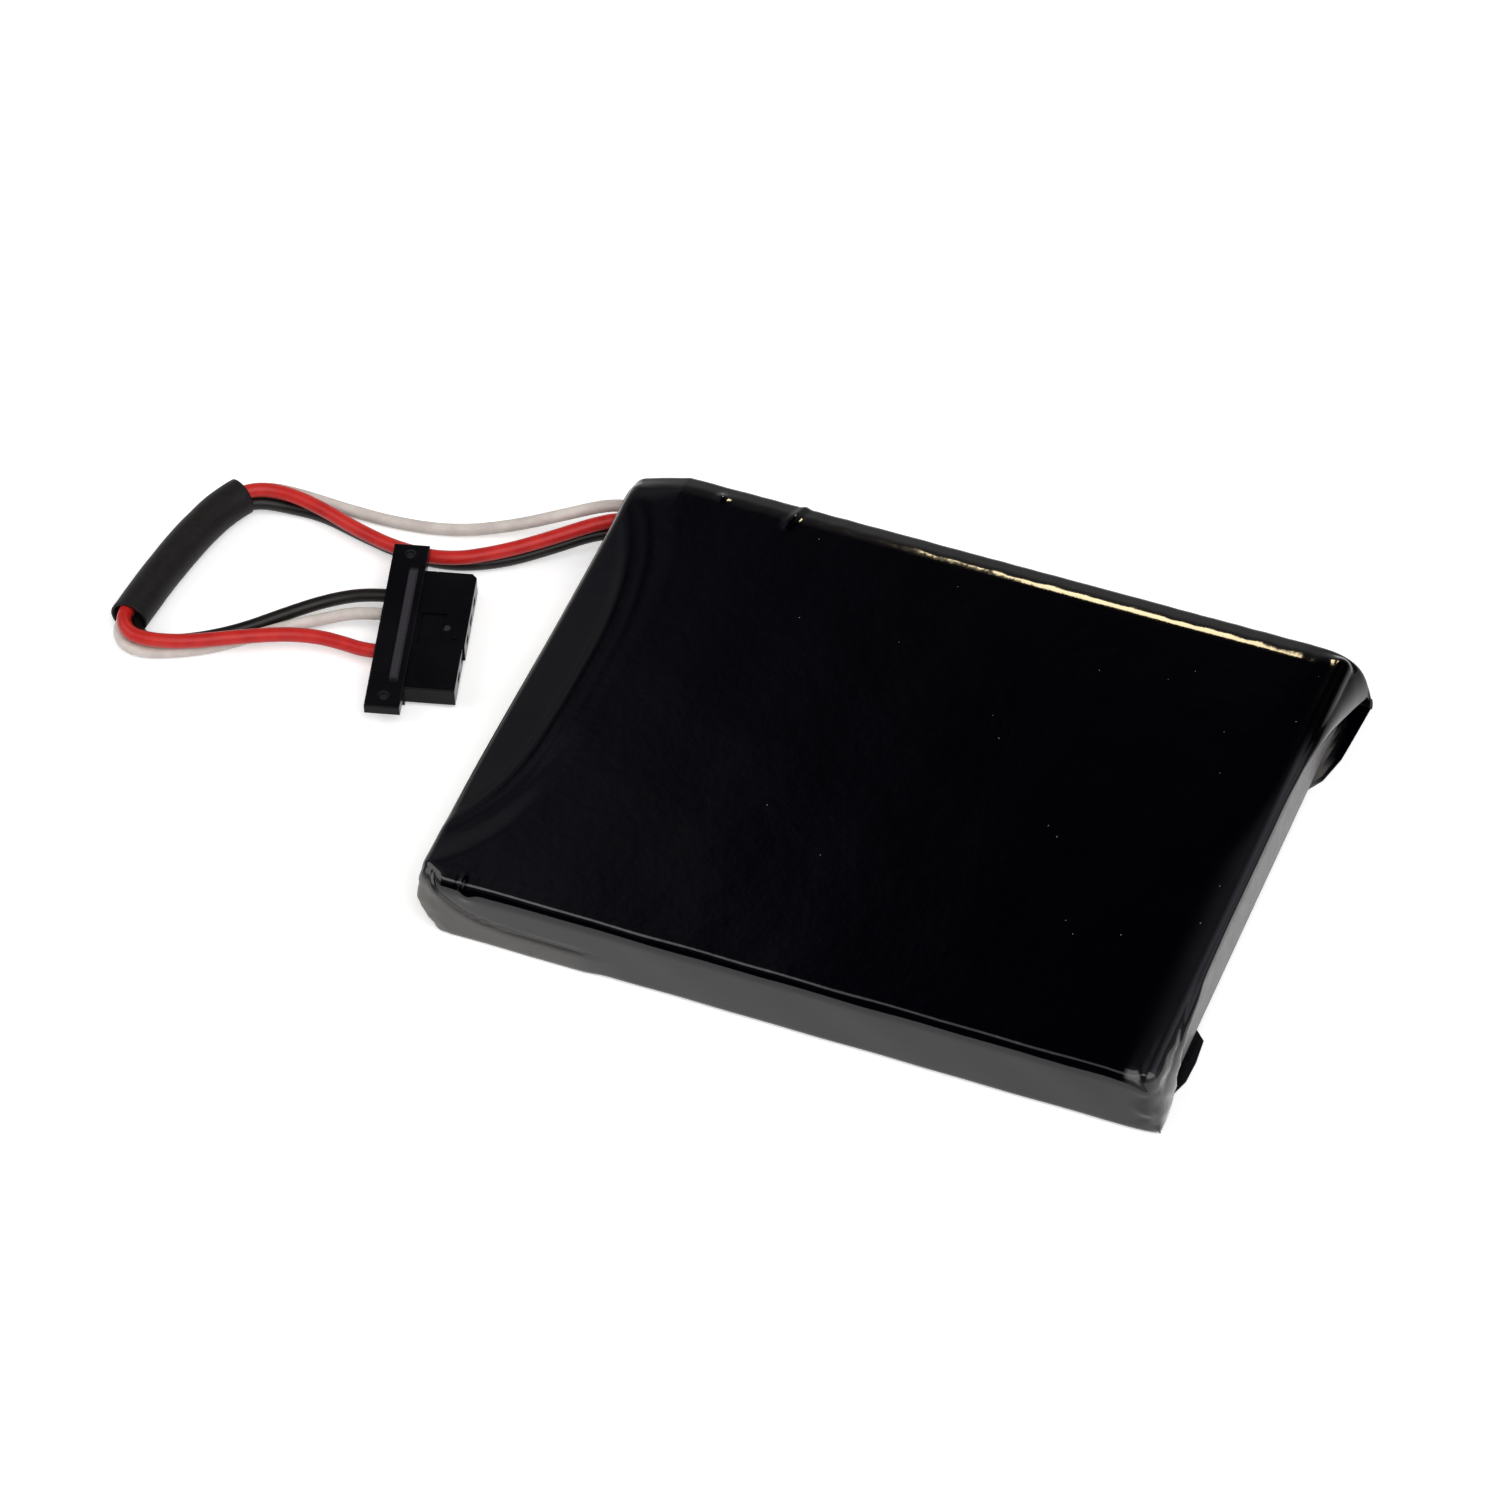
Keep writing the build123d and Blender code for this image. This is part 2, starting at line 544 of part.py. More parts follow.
def connector_housing():
    """Flat housing: an eared flange across the leads and a thin body that carries the contacts."""
    half_length, half_block = flange_length / 2, flange_length / 2 - ear_length
    ear_foot = flange_height - ear_thickness
    outline = Polyline((-half_block, 0), (half_block, 0), (half_block, ear_foot), (half_length, ear_foot),
                       (half_length, flange_height), (-half_length, flange_height),
                       (-half_length, ear_foot), (-half_block, ear_foot), close=True)
    flange = Pos(-flange_depth / 2, 0, 0) * extrude(make_face(Plane.YZ * outline), flange_depth)
    flange = fillet(flange.edges().filter_by(Axis.X), body_edge_radius)
    front = flange_depth / 2
    body = box_between((0, -body_length / 2, body_foot),
                       (front + body_reach, body_length / 2, body_foot + body_height))
    corner = body.edges().filter_by(Axis.Z).sort_by(lambda e: e.center().X + e.center().Y)[-1]
    body = chamfer(corner, body_chamfer)
    body = fillet(body.edges().filter_by(Axis.X), body_edge_radius)
    housing = flange + body
    rib_x = -flange_depth / 2 + rib_back_gap
    rib_half = half_block - rib_width
    rib = box_between((rib_x, -rib_half, flange_height - rib_height),
                      (rib_x + rib_width, rib_half, flange_height + rib_height))
    housing += fillet(rib.edges().filter_by(Axis.Z), rib_width / 3)
    dimple = Cylinder(ear_dimple_diameter / 2, 2 * ear_dimple_depth)
    for side in (-1, 1):
        housing -= Pos(0, side * (half_length - ear_length / 2), flange_height) * dimple
    body_top = body_foot + body_height
    window_x = front + body_reach - window_edge_gap
    housing -= box_between((window_x - window_reach, -window_length / 2, body_top - window_depth),
                           (window_x, window_length / 2, body_top + window_depth))
    nub_x = window_x + window_edge_gap / 2
    housing += Pos(nub_x, -way_pitch / 4, body_top) * Box(nub_size[0], nub_size[1], nub_size[2])
    housing -= box_between((front + body_reach - key_depth, -body_length, 0),
                           (front + body_reach + key_depth, key_length - body_length / 2, flange_height))
    for way in range(ways):
        housing -= Pos(0, way_offset(way), lead_axis_height) * contact_passage()
    return housing


def way_offset(way):
    return (way - (ways - 1) / 2) * way_pitch


def contact_passage():
    """Lead bore, contact cavity and mating slot of one way, along the mating direction."""
    round_bore = Rot(0, 90, 0) * Cylinder(lead_bore / 2, 2 * lead_bore_depth, align=FLAT)
    bore = Pos(-flange_depth / 2 - lead_bore_depth, 0, 0) * round_bore
    cavity = box_between((cavity_start, -cavity_width / 2, -cavity_height / 2),
                         (cavity_end, cavity_width / 2, cavity_height / 2))
    slot = box_between((cavity_end - slot_lip, -slot_width / 2, -slot_height / 2),
                       (cavity_end + 2 * slot_lip, slot_width / 2, slot_height / 2))
    return bore + cavity + slot


def crimp_contact(strand_diameter):
    """A stamped contact: barrel round the bare conductor, floor strip and a hollow spring box."""
    half_width = cavity_width / 2 - contact_clearance
    half_height = cavity_height / 2 - contact_clearance
    barrel = Cylinder(strand_diameter / 2 + contact_plate, barrel_length, align=FLAT)
    barrel -= Cylinder(strand_diameter / 2, barrel_length, align=FLAT)
    barrel = Pos(lead_end, 0, 0) * Rot(0, 90, 0) * barrel
    box_start = barrel_end + contact_plate
    box_end = cavity_end - contact_clearance
    box = box_between((box_start, -half_width, -half_height), (box_end, half_width, half_height))
    box -= box_between((box_start - contact_plate, contact_plate - half_width, contact_plate - half_height),
                       (box_end + contact_plate, half_width - contact_plate, half_height - contact_plate))
    floor_width = strand_diameter
    strip = box_between((lead_end, -floor_width / 2, -half_height),
                        (box_start + contact_plate, floor_width / 2, contact_plate - half_height))
    web = box_between((lead_end, -contact_plate / 2, -half_height),
                      (barrel_end, contact_plate / 2, -strand_diameter / 2))
    return barrel + strip + web + box


def in_connector(piece):
    """Place a piece drawn in the connector's own frame: mating direction +X, far ear +Y, underside 0."""
    half_block = flange_length / 2 - ear_length
    lift = connector_floor + half_block * sin(radians(connector_tilt))
    place = lead_corner * Pos(connector_place[0], connector_place[1], lift)
    return place * Rot(0, 0, connector_turn) * Rot(connector_tilt, 0, 0) * piece


def connector_pieces():
    """Contacts and the bare conductor ends that they grip, for the ways in use."""
    contacts, strands = [], []
    for colour, way in lead_ways.items():
        wire = lead_diameters[colour] * strand_share
        place = Pos(0, way_offset(way), lead_axis_height)
        conductor = Pos(lead_end, 0, 0) * Rot(0, 90, 0) * Cylinder(wire / 2, barrel_length, align=FLAT)
        contacts.append(in_connector(place * crimp_contact(wire)))
        strands.append(in_connector(place * conductor))
    return contacts, strands


def main():
    windings, outer_radius, half_run, half_turns = winding()
    first_run = core_middle_z + core_radius
    anode_run = first_run + anode_thickness / 2
    cathode_run = first_run + anode_thickness + separator_thickness + 2 * winding_gap + cathode_thickness / 2
    board_strands = {colour: board_strand(colour) for colour in lead_routes}
    solder = [solder_joint(colour, wire) for colour, wire in board_strands.items()]
    contacts, contact_strands = connector_pieces()
    parts = {
        "wrap_film": wrap_film(),
        "pouch": pouch(),
        **windings,
        "core_tape": core_tape(outer_radius, half_run, half_turns),
        "negative_tab": tab(tab_positions["negative"], anode_run),
        "positive_tab": tab(tab_positions["positive"], cathode_run),
        "tab_seals": tab_seals(),
        "terrace_tape": terrace_tape(),
        "protection_board": protection_board(),
        "weld_plates": weld_plates(),
        "mosfet_pair": leaded_package(mosfet_size, mosfet_pins, mosfet_pitch, 0),
        "protection_ic": leaded_package(ic_size, ic_pins, ic_pitch, ic_y),
        "chip_resistors": Compound(children=[chip_part(resistor_y), chip_part(resistor_y - chip_step)]),
        "chip_capacitors": Compound(children=[chip_part(capacitor_y, chip_size[1], 90),
                                              chip_part(capacitor_y, -chip_size[1], 90)]),
        "thermistor": chip_part(thermistor_y),
        "board_tape": board_tape(),
        "solder_joints": Compound(children=solder),
        "board_strands": Compound(children=list(board_strands.values())),
        "crimped_strands": Compound(children=contact_strands),
        **{f"{colour}_lead": tube(f"{colour}_lead", route, lead_diameters[colour])
           for colour, route in lead_routes.items()},
        "lead_sleeve": tube("lead_sleeve", sleeve_route, sleeve_outer_diameter, sleeve_bore),
        "connector_housing": in_connector(connector_housing()),
        "crimp_contacts": Compound(children=contacts),
    }
    os.makedirs("parts", exist_ok=True)
    for name, part in parts.items():
        export_step(part, f"parts/{name}.step")


main()
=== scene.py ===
import bpy
import json
import numpy as np
from math import cos, pi, radians, sin, tan
from mathutils import Matrix, Vector


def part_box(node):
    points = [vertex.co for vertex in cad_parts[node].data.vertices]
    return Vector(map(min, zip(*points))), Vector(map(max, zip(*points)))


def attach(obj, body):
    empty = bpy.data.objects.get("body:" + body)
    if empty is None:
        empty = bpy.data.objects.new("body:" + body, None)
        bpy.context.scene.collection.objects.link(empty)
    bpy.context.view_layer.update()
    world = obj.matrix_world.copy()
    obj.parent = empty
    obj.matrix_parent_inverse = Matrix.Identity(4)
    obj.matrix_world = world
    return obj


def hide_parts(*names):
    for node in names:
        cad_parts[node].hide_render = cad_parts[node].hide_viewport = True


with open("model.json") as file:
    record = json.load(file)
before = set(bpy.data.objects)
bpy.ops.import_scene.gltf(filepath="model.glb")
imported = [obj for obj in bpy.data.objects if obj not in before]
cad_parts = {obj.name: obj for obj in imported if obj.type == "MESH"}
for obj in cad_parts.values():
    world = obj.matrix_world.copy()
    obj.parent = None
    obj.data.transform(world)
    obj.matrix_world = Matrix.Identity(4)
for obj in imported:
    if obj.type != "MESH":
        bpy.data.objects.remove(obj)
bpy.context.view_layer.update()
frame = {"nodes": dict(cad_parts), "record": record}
nodes = frame["nodes"]
mm = 0.001


# ================================================================ camera


def place_camera(azimuth, elevation, roll, distance, target, lens):
    """Camera at a bearing round a target; azimuth 0 looks along +Y."""
    a, e, r = radians(azimuth), radians(elevation), radians(roll)
    back = Vector((sin(a) * cos(e), -cos(a) * cos(e), sin(e)))
    right = Vector((cos(a), sin(a), 0))
    up = back.cross(right)
    level_right = right * cos(r) + up * sin(r)
    level_up = up * cos(r) - right * sin(r)
    data = bpy.data.cameras.new("camera")
    data.lens = lens
    data.sensor_width = 36
    data.clip_start = 0.01
    data.clip_end = 10
    camera = bpy.data.objects.new("camera", data)
    bpy.context.scene.collection.objects.link(camera)
    turn = Matrix((level_right, level_up, back)).transposed().to_4x4()
    camera.matrix_world = Matrix.Translation(Vector(target) + back * distance) @ turn
    bpy.context.scene.camera = camera


place_camera(azimuth=22.02, elevation=46.67, roll=-0.825, distance=0.4889,
             target=(-0.010907, 0.001866, 0), lens=175.3)


# ================================================================ shader sums and nodes


class Signal:
    """A shader socket that can be added, multiplied and so on, as in plain sums."""

    def __init__(self, wiring, socket):
        self.wiring = wiring
        self.socket = socket

    def _math(self, operation, a, b):
        node = self.wiring.node("ShaderNodeMath", {"operation": operation}, {0: a, 1: b})
        return node.value("Value")

    def __add__(self, other):
        return self._math("ADD", self, other)

    def __radd__(self, other):
        return self._math("ADD", other, self)

    def __sub__(self, other):
        return self._math("SUBTRACT", self, other)

    def __mul__(self, other):
        return self._math("MULTIPLY", self, other)

    def __rmul__(self, other):
        return self._math("MULTIPLY", other, self)

    def __pow__(self, other):
        return self._math("POWER", self, other)

    def __abs__(self):
        return self._math("ABSOLUTE", self, 0.0)


class Node:
    """One shader node whose outputs are read as signals."""

    def __init__(self, wiring, node):
        self.wiring = wiring
        self.node = node

    def value(self, name=0):
        return Signal(self.wiring, self.node.outputs[name])


class Wiring:
    """A node tree and the few kinds of node that everything here is made of."""

    def __init__(self, tree):
        self.tree = tree
        tree.nodes.clear()

    def node(self, kind, settings=None, sockets=None):
        """Add a node: settings are its own choices, sockets take plain values or signals."""
        made = self.tree.nodes.new(kind)
        for name, setting in (settings or {}).items():
            setattr(made, name, setting)
        for name, given in (sockets or {}).items():
            if isinstance(given, Signal):
                self.tree.links.new(given.socket, made.inputs[name])
            else:
                made.inputs[name].default_value = given
        return Node(self, made)

    def place(self):
        """The piece's own coordinates, in metres."""
        return self.node("ShaderNodeTexCoord").value("Object")

    def stretched(self, scale):
        """The piece's own coordinates, scaled along each axis."""
        return self.node("ShaderNodeMapping", {}, {"Vector": self.place(), "Scale": scale}).value()

    def noise(self, scale, detail=3, roughness=0.55, vector=None):
        """Soft mottling of 0 to 1, its scale in patches to the metre."""
        vector = vector or self.place()
        return self.node("ShaderNodeTexNoise", {}, {
            "Vector": vector, "Scale": scale, "Detail": detail, "Roughness": roughness}).value(0)

    def ramp(self, signal, low, high, ends=(0.0, 1.0)):
        """The signal spread from low..high to the given ends, held beyond them."""
        return self.node("ShaderNodeMapRange", {"interpolation_type": "SMOOTHSTEP"}, {
            "Value": signal, "From Min": low, "From Max": high, "To Min": ends[0], "To Max": ends[1]}).value()

    def grown(self, name):
        """A value that the piece's own mesh carries."""
        return self.node("ShaderNodeAttribute", {"attribute_name": name}).value("Fac")

    def mix(self, mask, a, b):
        """Colour a where the mask is 0, b where it is 1."""
        made = self.node("ShaderNodeMix", {"data_type": "RGBA"}, {"Factor": mask})
        for name, given in (("A", a), ("B", b)):
            socket = [s for s in made.node.inputs if s.name == name and s.type == "RGBA"][0]
            if isinstance(given, Signal):
                self.tree.links.new(given.socket, socket)
            else:
                socket.default_value = (*given, 1)
        return Signal(self, [s for s in made.node.outputs if s.type == "RGBA"][0])

    def bump(self, height, depth, strength=1.0):
        """Relief of that depth in metres."""
        return self.node("ShaderNodeBump", {}, {
            "Height": height, "Distance": depth, "Strength": strength}).value("Normal")


def finish(name, build, **constants):
    """A material: build gives the sockets that vary, constants are set straight on the shader."""
    material = bpy.data.materials.new(name)
    material.use_nodes = True
    work = Wiring(material.node_tree)
    sockets = dict(build(work))
    for socket, given in constants.items():
        sockets[socket.replace("_", " ")] = given
    shader = work.node("ShaderNodeBsdfPrincipled", {}, sockets)
    work.node("ShaderNodeOutputMaterial", {}, {"Surface": shader.value("BSDF")})
    return material


# ================================================================ finishes


def film_finish():
    """Shrunk gloss film: clear black where it lies flat, dull and pale where it is stretched, and paler where
    painted sheen and painted light are laid on it.
    """
    def build(work):
        haze_and_sheen = work.grown("haze_and_sheen")
        cloud = work.noise(260, 4, 0.6)
        streaks = work.noise(90, 3, 0.6, work.stretched((1, 1, 9)))
        dull = work.ramp(haze_and_sheen + 0.35 * haze_and_sheen * (cloud - 0.5), 0, 1)
        # Greys of the dull film and of its painted sheen; the warm grey, at the palest places, paints the
        # warm reflection low on the front face.
        thin = work.mix(work.ramp(dull, 0.15, 0.5), (0.084, 0.083, 0.092), (0.104, 0.096, 0.089))
        shade = work.mix(dull, (0.0005, 0.0004, 0.0014), thin)
        ripple = work.noise(170, 2, 0.5) + 0.25 * work.noise(1300, 2, 0.5) + haze_and_sheen * streaks
        return {"Base Color": shade,
                # Painted shade: the film is metallic black at the painted dark corner, so it mirrors nothing
                # there.
                "Metallic": work.grown("dark"),
                "Roughness": 0.055 + 0.36 * dull + 0.03 * cloud,
                "Normal": work.bump(ripple, 0.00004, 0.6)}
    return finish("black_film", build, IOR=1.5)


def pouch_finish():
    """Satin aluminium laminate, pressed by the cell inside it."""
    def build(work):
        cloud = work.noise(900, 4, 0.55)
        grain = work.noise(5200, 2, 0.5)
        mottled = work.mix(work.ramp(cloud, 0.35, 0.68), (0.122, 0.117, 0.119), (0.160, 0.155, 0.157))
        return {"Base Color": mottled, "Roughness": 0.34 + 0.16 * grain,
                "Normal": work.bump(cloud + 0.2 * grain, 0.00005, 0.5)}
    return finish("pouch_laminate", build, Metallic=0.25, IOR=1.5)


def speckled(name, dark, light, scale, roughness, relief=0.00001, **constants):
    """A finish that varies a little between two shades, with a fine grain."""
    def build(work):
        cloud = work.noise(scale, 4, 0.6)
        grain = work.noise(scale * 7, 2, 0.5)
        return {"Base Color": work.mix(work.ramp(cloud, 0.3, 0.7), dark, light),
                "Roughness": roughness + 0.12 * (grain - 0.5),
                "Normal": work.bump(cloud + 0.4 * grain, relief, 0.5)}
    return finish(name, build, **constants)


def drawn(name, dark, light, direction, roughness, **constants):
    """Rolled or drawn metal, with fine lines along one axis."""
    def build(work):
        lines = work.noise(900, 3, 0.6, work.stretched(direction))
        cloud = work.noise(300, 3, 0.5)
        return {"Base Color": work.mix(work.ramp(lines, 0.3, 0.7), dark, light),
                "Roughness": roughness + 0.2 * (lines - 0.5) + 0.1 * (cloud - 0.5),
                "Normal": work.bump(lines, 0.000008, 0.5)}
    return finish(name, build, Metallic=1.0, **constants)


def board_finish():
    """Green solder mask over copper tracks, with a faint glass weave under it."""
    def build(work):
        track = work.ramp(work.noise(380, 1, 0.3, work.stretched((0.3, 1, 1))), 0.50, 0.54)
        weave = work.noise(2600, 1, 0.4)
        mask = work.mix(track, (0.006, 0.075, 0.028), (0.012, 0.13, 0.05))
        return {"Base Color": work.mix(0.3 * weave, mask, (0.008, 0.06, 0.03)),
                "Roughness": 0.3 + 0.1 * weave,
                "Normal": work.bump(track + 0.15 * weave, 0.00002, 0.6)}
    return finish("board_laminate", build, IOR=1.5)


def end_capped(name, body, cap, scale, roughness):
    """A chip's fired ceramic, grained between the shades of its body and of its caps."""
    def build(work):
        grain = work.noise(scale, 3, 0.6)
        return {"Base Color": work.mix(work.ramp(grain, 0.42, 0.6), body, cap),
                "Roughness": roughness + 0.1 * (grain - 0.5),
                "Normal": work.bump(grain, 0.000012, 0.4)}
    return finish(name, build, IOR=1.55)


def tape_finish(name, dark, light, roughness):
    """Thin tape with a smooth back, a little rumpled."""
    def build(work):
        rumple = work.noise(340, 3, 0.5)
        fine = work.noise(1500, 2, 0.5)
        return {"Base Color": work.mix(work.ramp(rumple, 0.3, 0.72), dark, light),
                "Roughness": roughness + 0.1 * (fine - 0.5),
                "Normal": work.bump(rumple, 0.00004, 0.5)}
    return finish(name, build, IOR=1.5)


def insulation(slot):
    """Soft extruded insulation with faint handling marks and draw lines."""
    dark, light = {
        "red_insulation": ((0.43, 0.011, 0.010), (0.54, 0.020, 0.016)),
        "black_insulation": ((0.0035, 0.0026, 0.0023), (0.0090, 0.0066, 0.0058)),
        "white_insulation": ((0.52, 0.465, 0.43), (0.64, 0.58, 0.54)),
    }[slot]

    def build(work):
        cloud = work.noise(700, 3, 0.55)
        fine = work.noise(6000, 2, 0.5)
        return {"Base Color": work.mix(work.ramp(cloud, 0.3, 0.7), dark, light),
                "Roughness": 0.34 + 0.12 * (cloud - 0.5) + 0.06 * fine,
                "Normal": work.bump(cloud + 0.2 * fine, 0.00002, 0.4)}
    return finish(slot, build, IOR=1.36)


def sleeve_finish():
    """Matt shrink tubing with a fine grain and slight stretch marks along it."""
    def build(work):
        along = work.grown("along")
        around = work.grown("around")
        path = work.node("ShaderNodeCombineXYZ", {}, {"X": along * 900, "Y": around * 9, "Z": 0.0}).value()
        marks = work.noise(1, 3, 0.6, path)
        grain = work.noise(3800, 3, 0.6)
        worn = work.ramp(grain + 0.5 * marks, 0.5, 1.0)
        shade = work.mix(worn, (0.0040, 0.0031, 0.0036), (0.0095, 0.0076, 0.0086))
        return {"Base Color": shade, "Roughness": 0.58 + 0.12 * (grain - 0.5),
                "Normal": work.bump(grain + 0.5 * marks, 0.00003, 0.6)}
    return finish("sleeve", build, IOR=1.3)


# Place of the connector's flange in millimetres from the pack's corner, and its turn about Z.
connector_centre = (-11.19, -18.19, 0)
connector_turn = radians(15)
# Painted highlights on its upper side (rib, edges, dimples) and a paler gate spot, placed from that centre,
# across and along the flange.
painted_highlight_heights = (1.8 * mm, 2.0 * mm)
rib_across = 0.45 * mm
rib_sides = (0.24 * mm, 0.34 * mm)
rib_ends = (4.7 * mm, 5.3 * mm)
edge_across = 1.18 * mm
edge_sides = (0.03 * mm, 0.10 * mm)
gate_place = (3.35 * mm, 0.15 * mm)
gate_rim = (3e-8, 9e-8)             # squares of its inner and outer radius
dimple_along = 6.42 * mm
dimple_rim = (6e-8, 2e-7)


def connector_finish():
    """Moulded black nylon with a dull spark-eroded skin, and painted highlights on its rib, edges and
    dimples.
    """
    def build(work):
        own = work.node("ShaderNodeMapping", {"vector_type": "TEXTURE"}, {
            "Vector": work.place(), "Location": from_corner(connector_centre),
            "Rotation": (0, 0, connector_turn)})
        split = work.node("ShaderNodeSeparateXYZ", {}, {"Vector": own.value()})
        across, along, up = split.value("X"), split.value("Y"), split.value("Z")
        # Painted highlights: the rib, the flange's edges and the dimples are made paler and rougher where
        # light would catch them; the gate is a paler round spot.
        above = work.ramp(up, *painted_highlight_heights)
        rib = work.ramp(abs(across - rib_across), *rib_sides, (1, 0))
        rib = rib * work.ramp(abs(along), *rib_ends, (1, 0)) * above
        edge = work.ramp(abs(abs(across) - edge_across), *edge_sides, (1, 0)) * above
        from_gate = (across - gate_place[0]) ** 2 + (along - gate_place[1]) ** 2
        gate = work.ramp(from_gate, *gate_rim, (1, 0)) * above
        from_dimple = across ** 2 + (abs(along) - dimple_along) ** 2
        dimple = work.ramp(from_dimple, *dimple_rim, (1, 0))
        cloud = work.noise(240, 3, 0.5)
        grain = work.noise(5200, 3, 0.65)
        painted_highlights_and_gate_spot = rib + 0.5 * dimple + 0.8 * gate + 0.22 * edge * cloud
        uneven = work.ramp(cloud + 0.3 * grain, 0.35, 0.95)
        black = work.mix(uneven, (0.0012, 0.0011, 0.0018), (0.0036, 0.0034, 0.0046))
        shade = work.mix(painted_highlights_and_gate_spot, black, (0.031, 0.029, 0.036))
        return {"Base Color": shade, "Roughness": 0.17 + 0.12 * grain + 0.25 * painted_highlights_and_gate_spot,
                "Normal": work.bump(grain, 0.000012, 0.5)}
    return finish("connector_plastic", build, IOR=1.22)


def dress_nodes():
    """Give every part that keeps its first shape the finish of its material."""
    finishes = {
        "pouch_laminate": pouch_finish(),
        "anode": speckled("anode", (0.010, 0.010, 0.011), (0.030, 0.029, 0.029), 2400, 0.62),
        "cathode": speckled("cathode", (0.022, 0.022, 0.024), (0.052, 0.052, 0.055), 2600, 0.5),
        "separator": speckled("separator", (0.62, 0.62, 0.60), (0.76, 0.76, 0.74), 1200, 0.5, IOR=1.49),
        "core_tape": tape_finish("core_tape", (0.02, 0.10, 0.34), (0.03, 0.15, 0.45), 0.32),
        "nickel": drawn("nickel", (0.50, 0.47, 0.42), (0.68, 0.65, 0.60), (0.15, 1, 1), 0.32),
        "tab_aluminium": drawn("tab_aluminium", (0.66, 0.67, 0.68), (0.80, 0.81, 0.82), (0.15, 1, 1), 0.36),
        "sealant": speckled("sealant", (0.50, 0.49, 0.45), (0.64, 0.63, 0.58), 1500, 0.42, IOR=1.49),
        "insulating_tape": tape_finish("insulating_tape", (0.42, 0.17, 0.015), (0.58, 0.27, 0.03), 0.24),
        "board_laminate": board_finish(),
        "chip_package": speckled("chip_package", (0.010, 0.010, 0.011), (0.020, 0.020, 0.021), 3800, 0.52),
        "chip_resistor": end_capped("chip_resistor", (0.015, 0.015, 0.017), (0.05, 0.05, 0.055), 2600, 0.4),
        "chip_ceramic": end_capped("chip_ceramic", (0.27, 0.17, 0.10), (0.40, 0.28, 0.18), 2600, 0.46),
        "solder": speckled("solder", (0.58, 0.58, 0.59), (0.76, 0.76, 0.77), 2800, 0.28, Metallic=1.0),
        "tinned_copper": drawn("tinned_copper", (0.60, 0.58, 0.55), (0.78, 0.76, 0.73), (1, 0.2, 1), 0.3),
        "connector_plastic": connector_finish(),
        "contact_metal": drawn("contact_metal", (0.58, 0.56, 0.52), (0.76, 0.74, 0.70), (1, 1, 0.2), 0.26),
    }
    for name, node in nodes.items():
        if slot_of[name] in finishes:
            for place in node.material_slots:
                place.material = finishes[slot_of[name]]


# ================================================================ leads

red_diameter = 1.00 * mm
black_diameter = 0.92 * mm
white_diameter = 0.86 * mm
film_low, film_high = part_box("wrap_film")
lead_corner = Vector((film_low.x, film_high.y, film_low.z))

# Corner points of the routes in millimetres, from the pack's corner on the lead side.
sleeve_route = [
    (-26.50, -9.90, 1.35), (-27.30, -11.40, 1.35), (-27.95, -14.20, 1.35), (-28.45, -17.60, 1.35),
    (-28.73, -20.80, 1.35), (-28.85, -23.40, 1.35),
]
red_route = [
    (1.30, -3.05, 1.90), (-0.40, -3.63, 2.60), (-2.25, -4.72, 2.42), (-4.70, -6.64, 1.97),
    (-7.50, -8.80, 1.64), (-10.70, -10.60, 1.41), (-14.20, -10.82, 1.36), (-17.70, -10.10, 1.38),
    (-20.80, -9.10, 1.45), (-23.40, -8.75, 1.62), (-25.30, -9.15, 1.82), (-26.58, -10.30, 1.94),
    (-27.45, -12.40, 1.94), (-28.03, -15.20, 1.93), (-28.52, -18.20, 1.93), (-28.86, -21.10, 1.93),
    (-29.04, -22.80, 1.93), (-28.98, -24.12, 1.87), (-27.92, -25.12, 1.75), (-26.10, -24.92, 1.62),
    (-23.75, -23.98, 1.52), (-21.10, -22.46, 1.47), (-18.40, -21.08, 1.42), (-16.20, -20.40, 1.32),
    (-14.40, -20.25, 1.21), (-12.67, -20.34, 1.19), (-11.10, -19.92, 1.19),
]
black_route = [
    (1.30, -4.45, 1.85), (-0.35, -4.08, 1.60), (-2.25, -4.64, 1.42), (-4.70, -6.58, 0.96),
    (-7.50, -8.75, 0.62), (-10.70, -10.15, 0.47), (-14.20, -10.28, 0.47), (-17.70, -9.60, 0.47),
    (-20.80, -8.80, 0.47), (-23.40, -9.00, 0.56), (-25.35, -9.50, 0.84), (-26.48, -10.65, 0.96),
    (-27.15, -12.70, 0.98), (-27.55, -15.20, 0.98), (-28.00, -18.10, 0.98), (-28.27, -20.85, 0.98),
    (-28.34, -22.40, 0.97), (-28.36, -23.55, 0.92), (-27.43, -24.26, 0.74), (-26.10, -23.82, 0.52),
    (-24.80, -23.18, 0.47), (-23.15, -22.15, 0.47), (-21.35, -20.65, 0.50), (-19.50, -18.75, 0.64),
    (-17.60, -17.05, 0.86), (-15.80, -16.00, 1.17), (-14.06, -15.44, 1.43), (-12.42, -15.00, 1.43),
]
white_route = [
    (1.30, -1.95, 1.85), (-0.20, -1.90, 2.15), (-2.20, -2.45, 2.20), (-4.80, -4.00, 1.75),
    (-8.10, -5.65, 0.98), (-11.70, -7.00, 0.46), (-15.70, -7.70, 0.44), (-19.70, -7.70, 0.44),
    (-23.00, -7.60, 0.56), (-25.30, -8.00, 0.85), (-26.80, -9.25, 0.98), (-27.78, -11.30, 0.98),
    (-28.45, -14.30, 0.98), (-28.92, -17.60, 0.98), (-29.22, -20.80, 0.98), (-29.36, -22.80, 0.97),
    (-29.30, -24.22, 0.86), (-28.38, -25.28, 0.66), (-26.95, -25.18, 0.46), (-25.22, -24.49, 0.44),
    (-23.00, -23.26, 0.44), (-20.92, -21.43, 0.45), (-18.50, -19.32, 0.56), (-16.60, -18.22, 0.82),
    (-15.10, -17.48, 1.15), (-13.53, -17.06, 1.35), (-11.98, -16.64, 1.35),
]


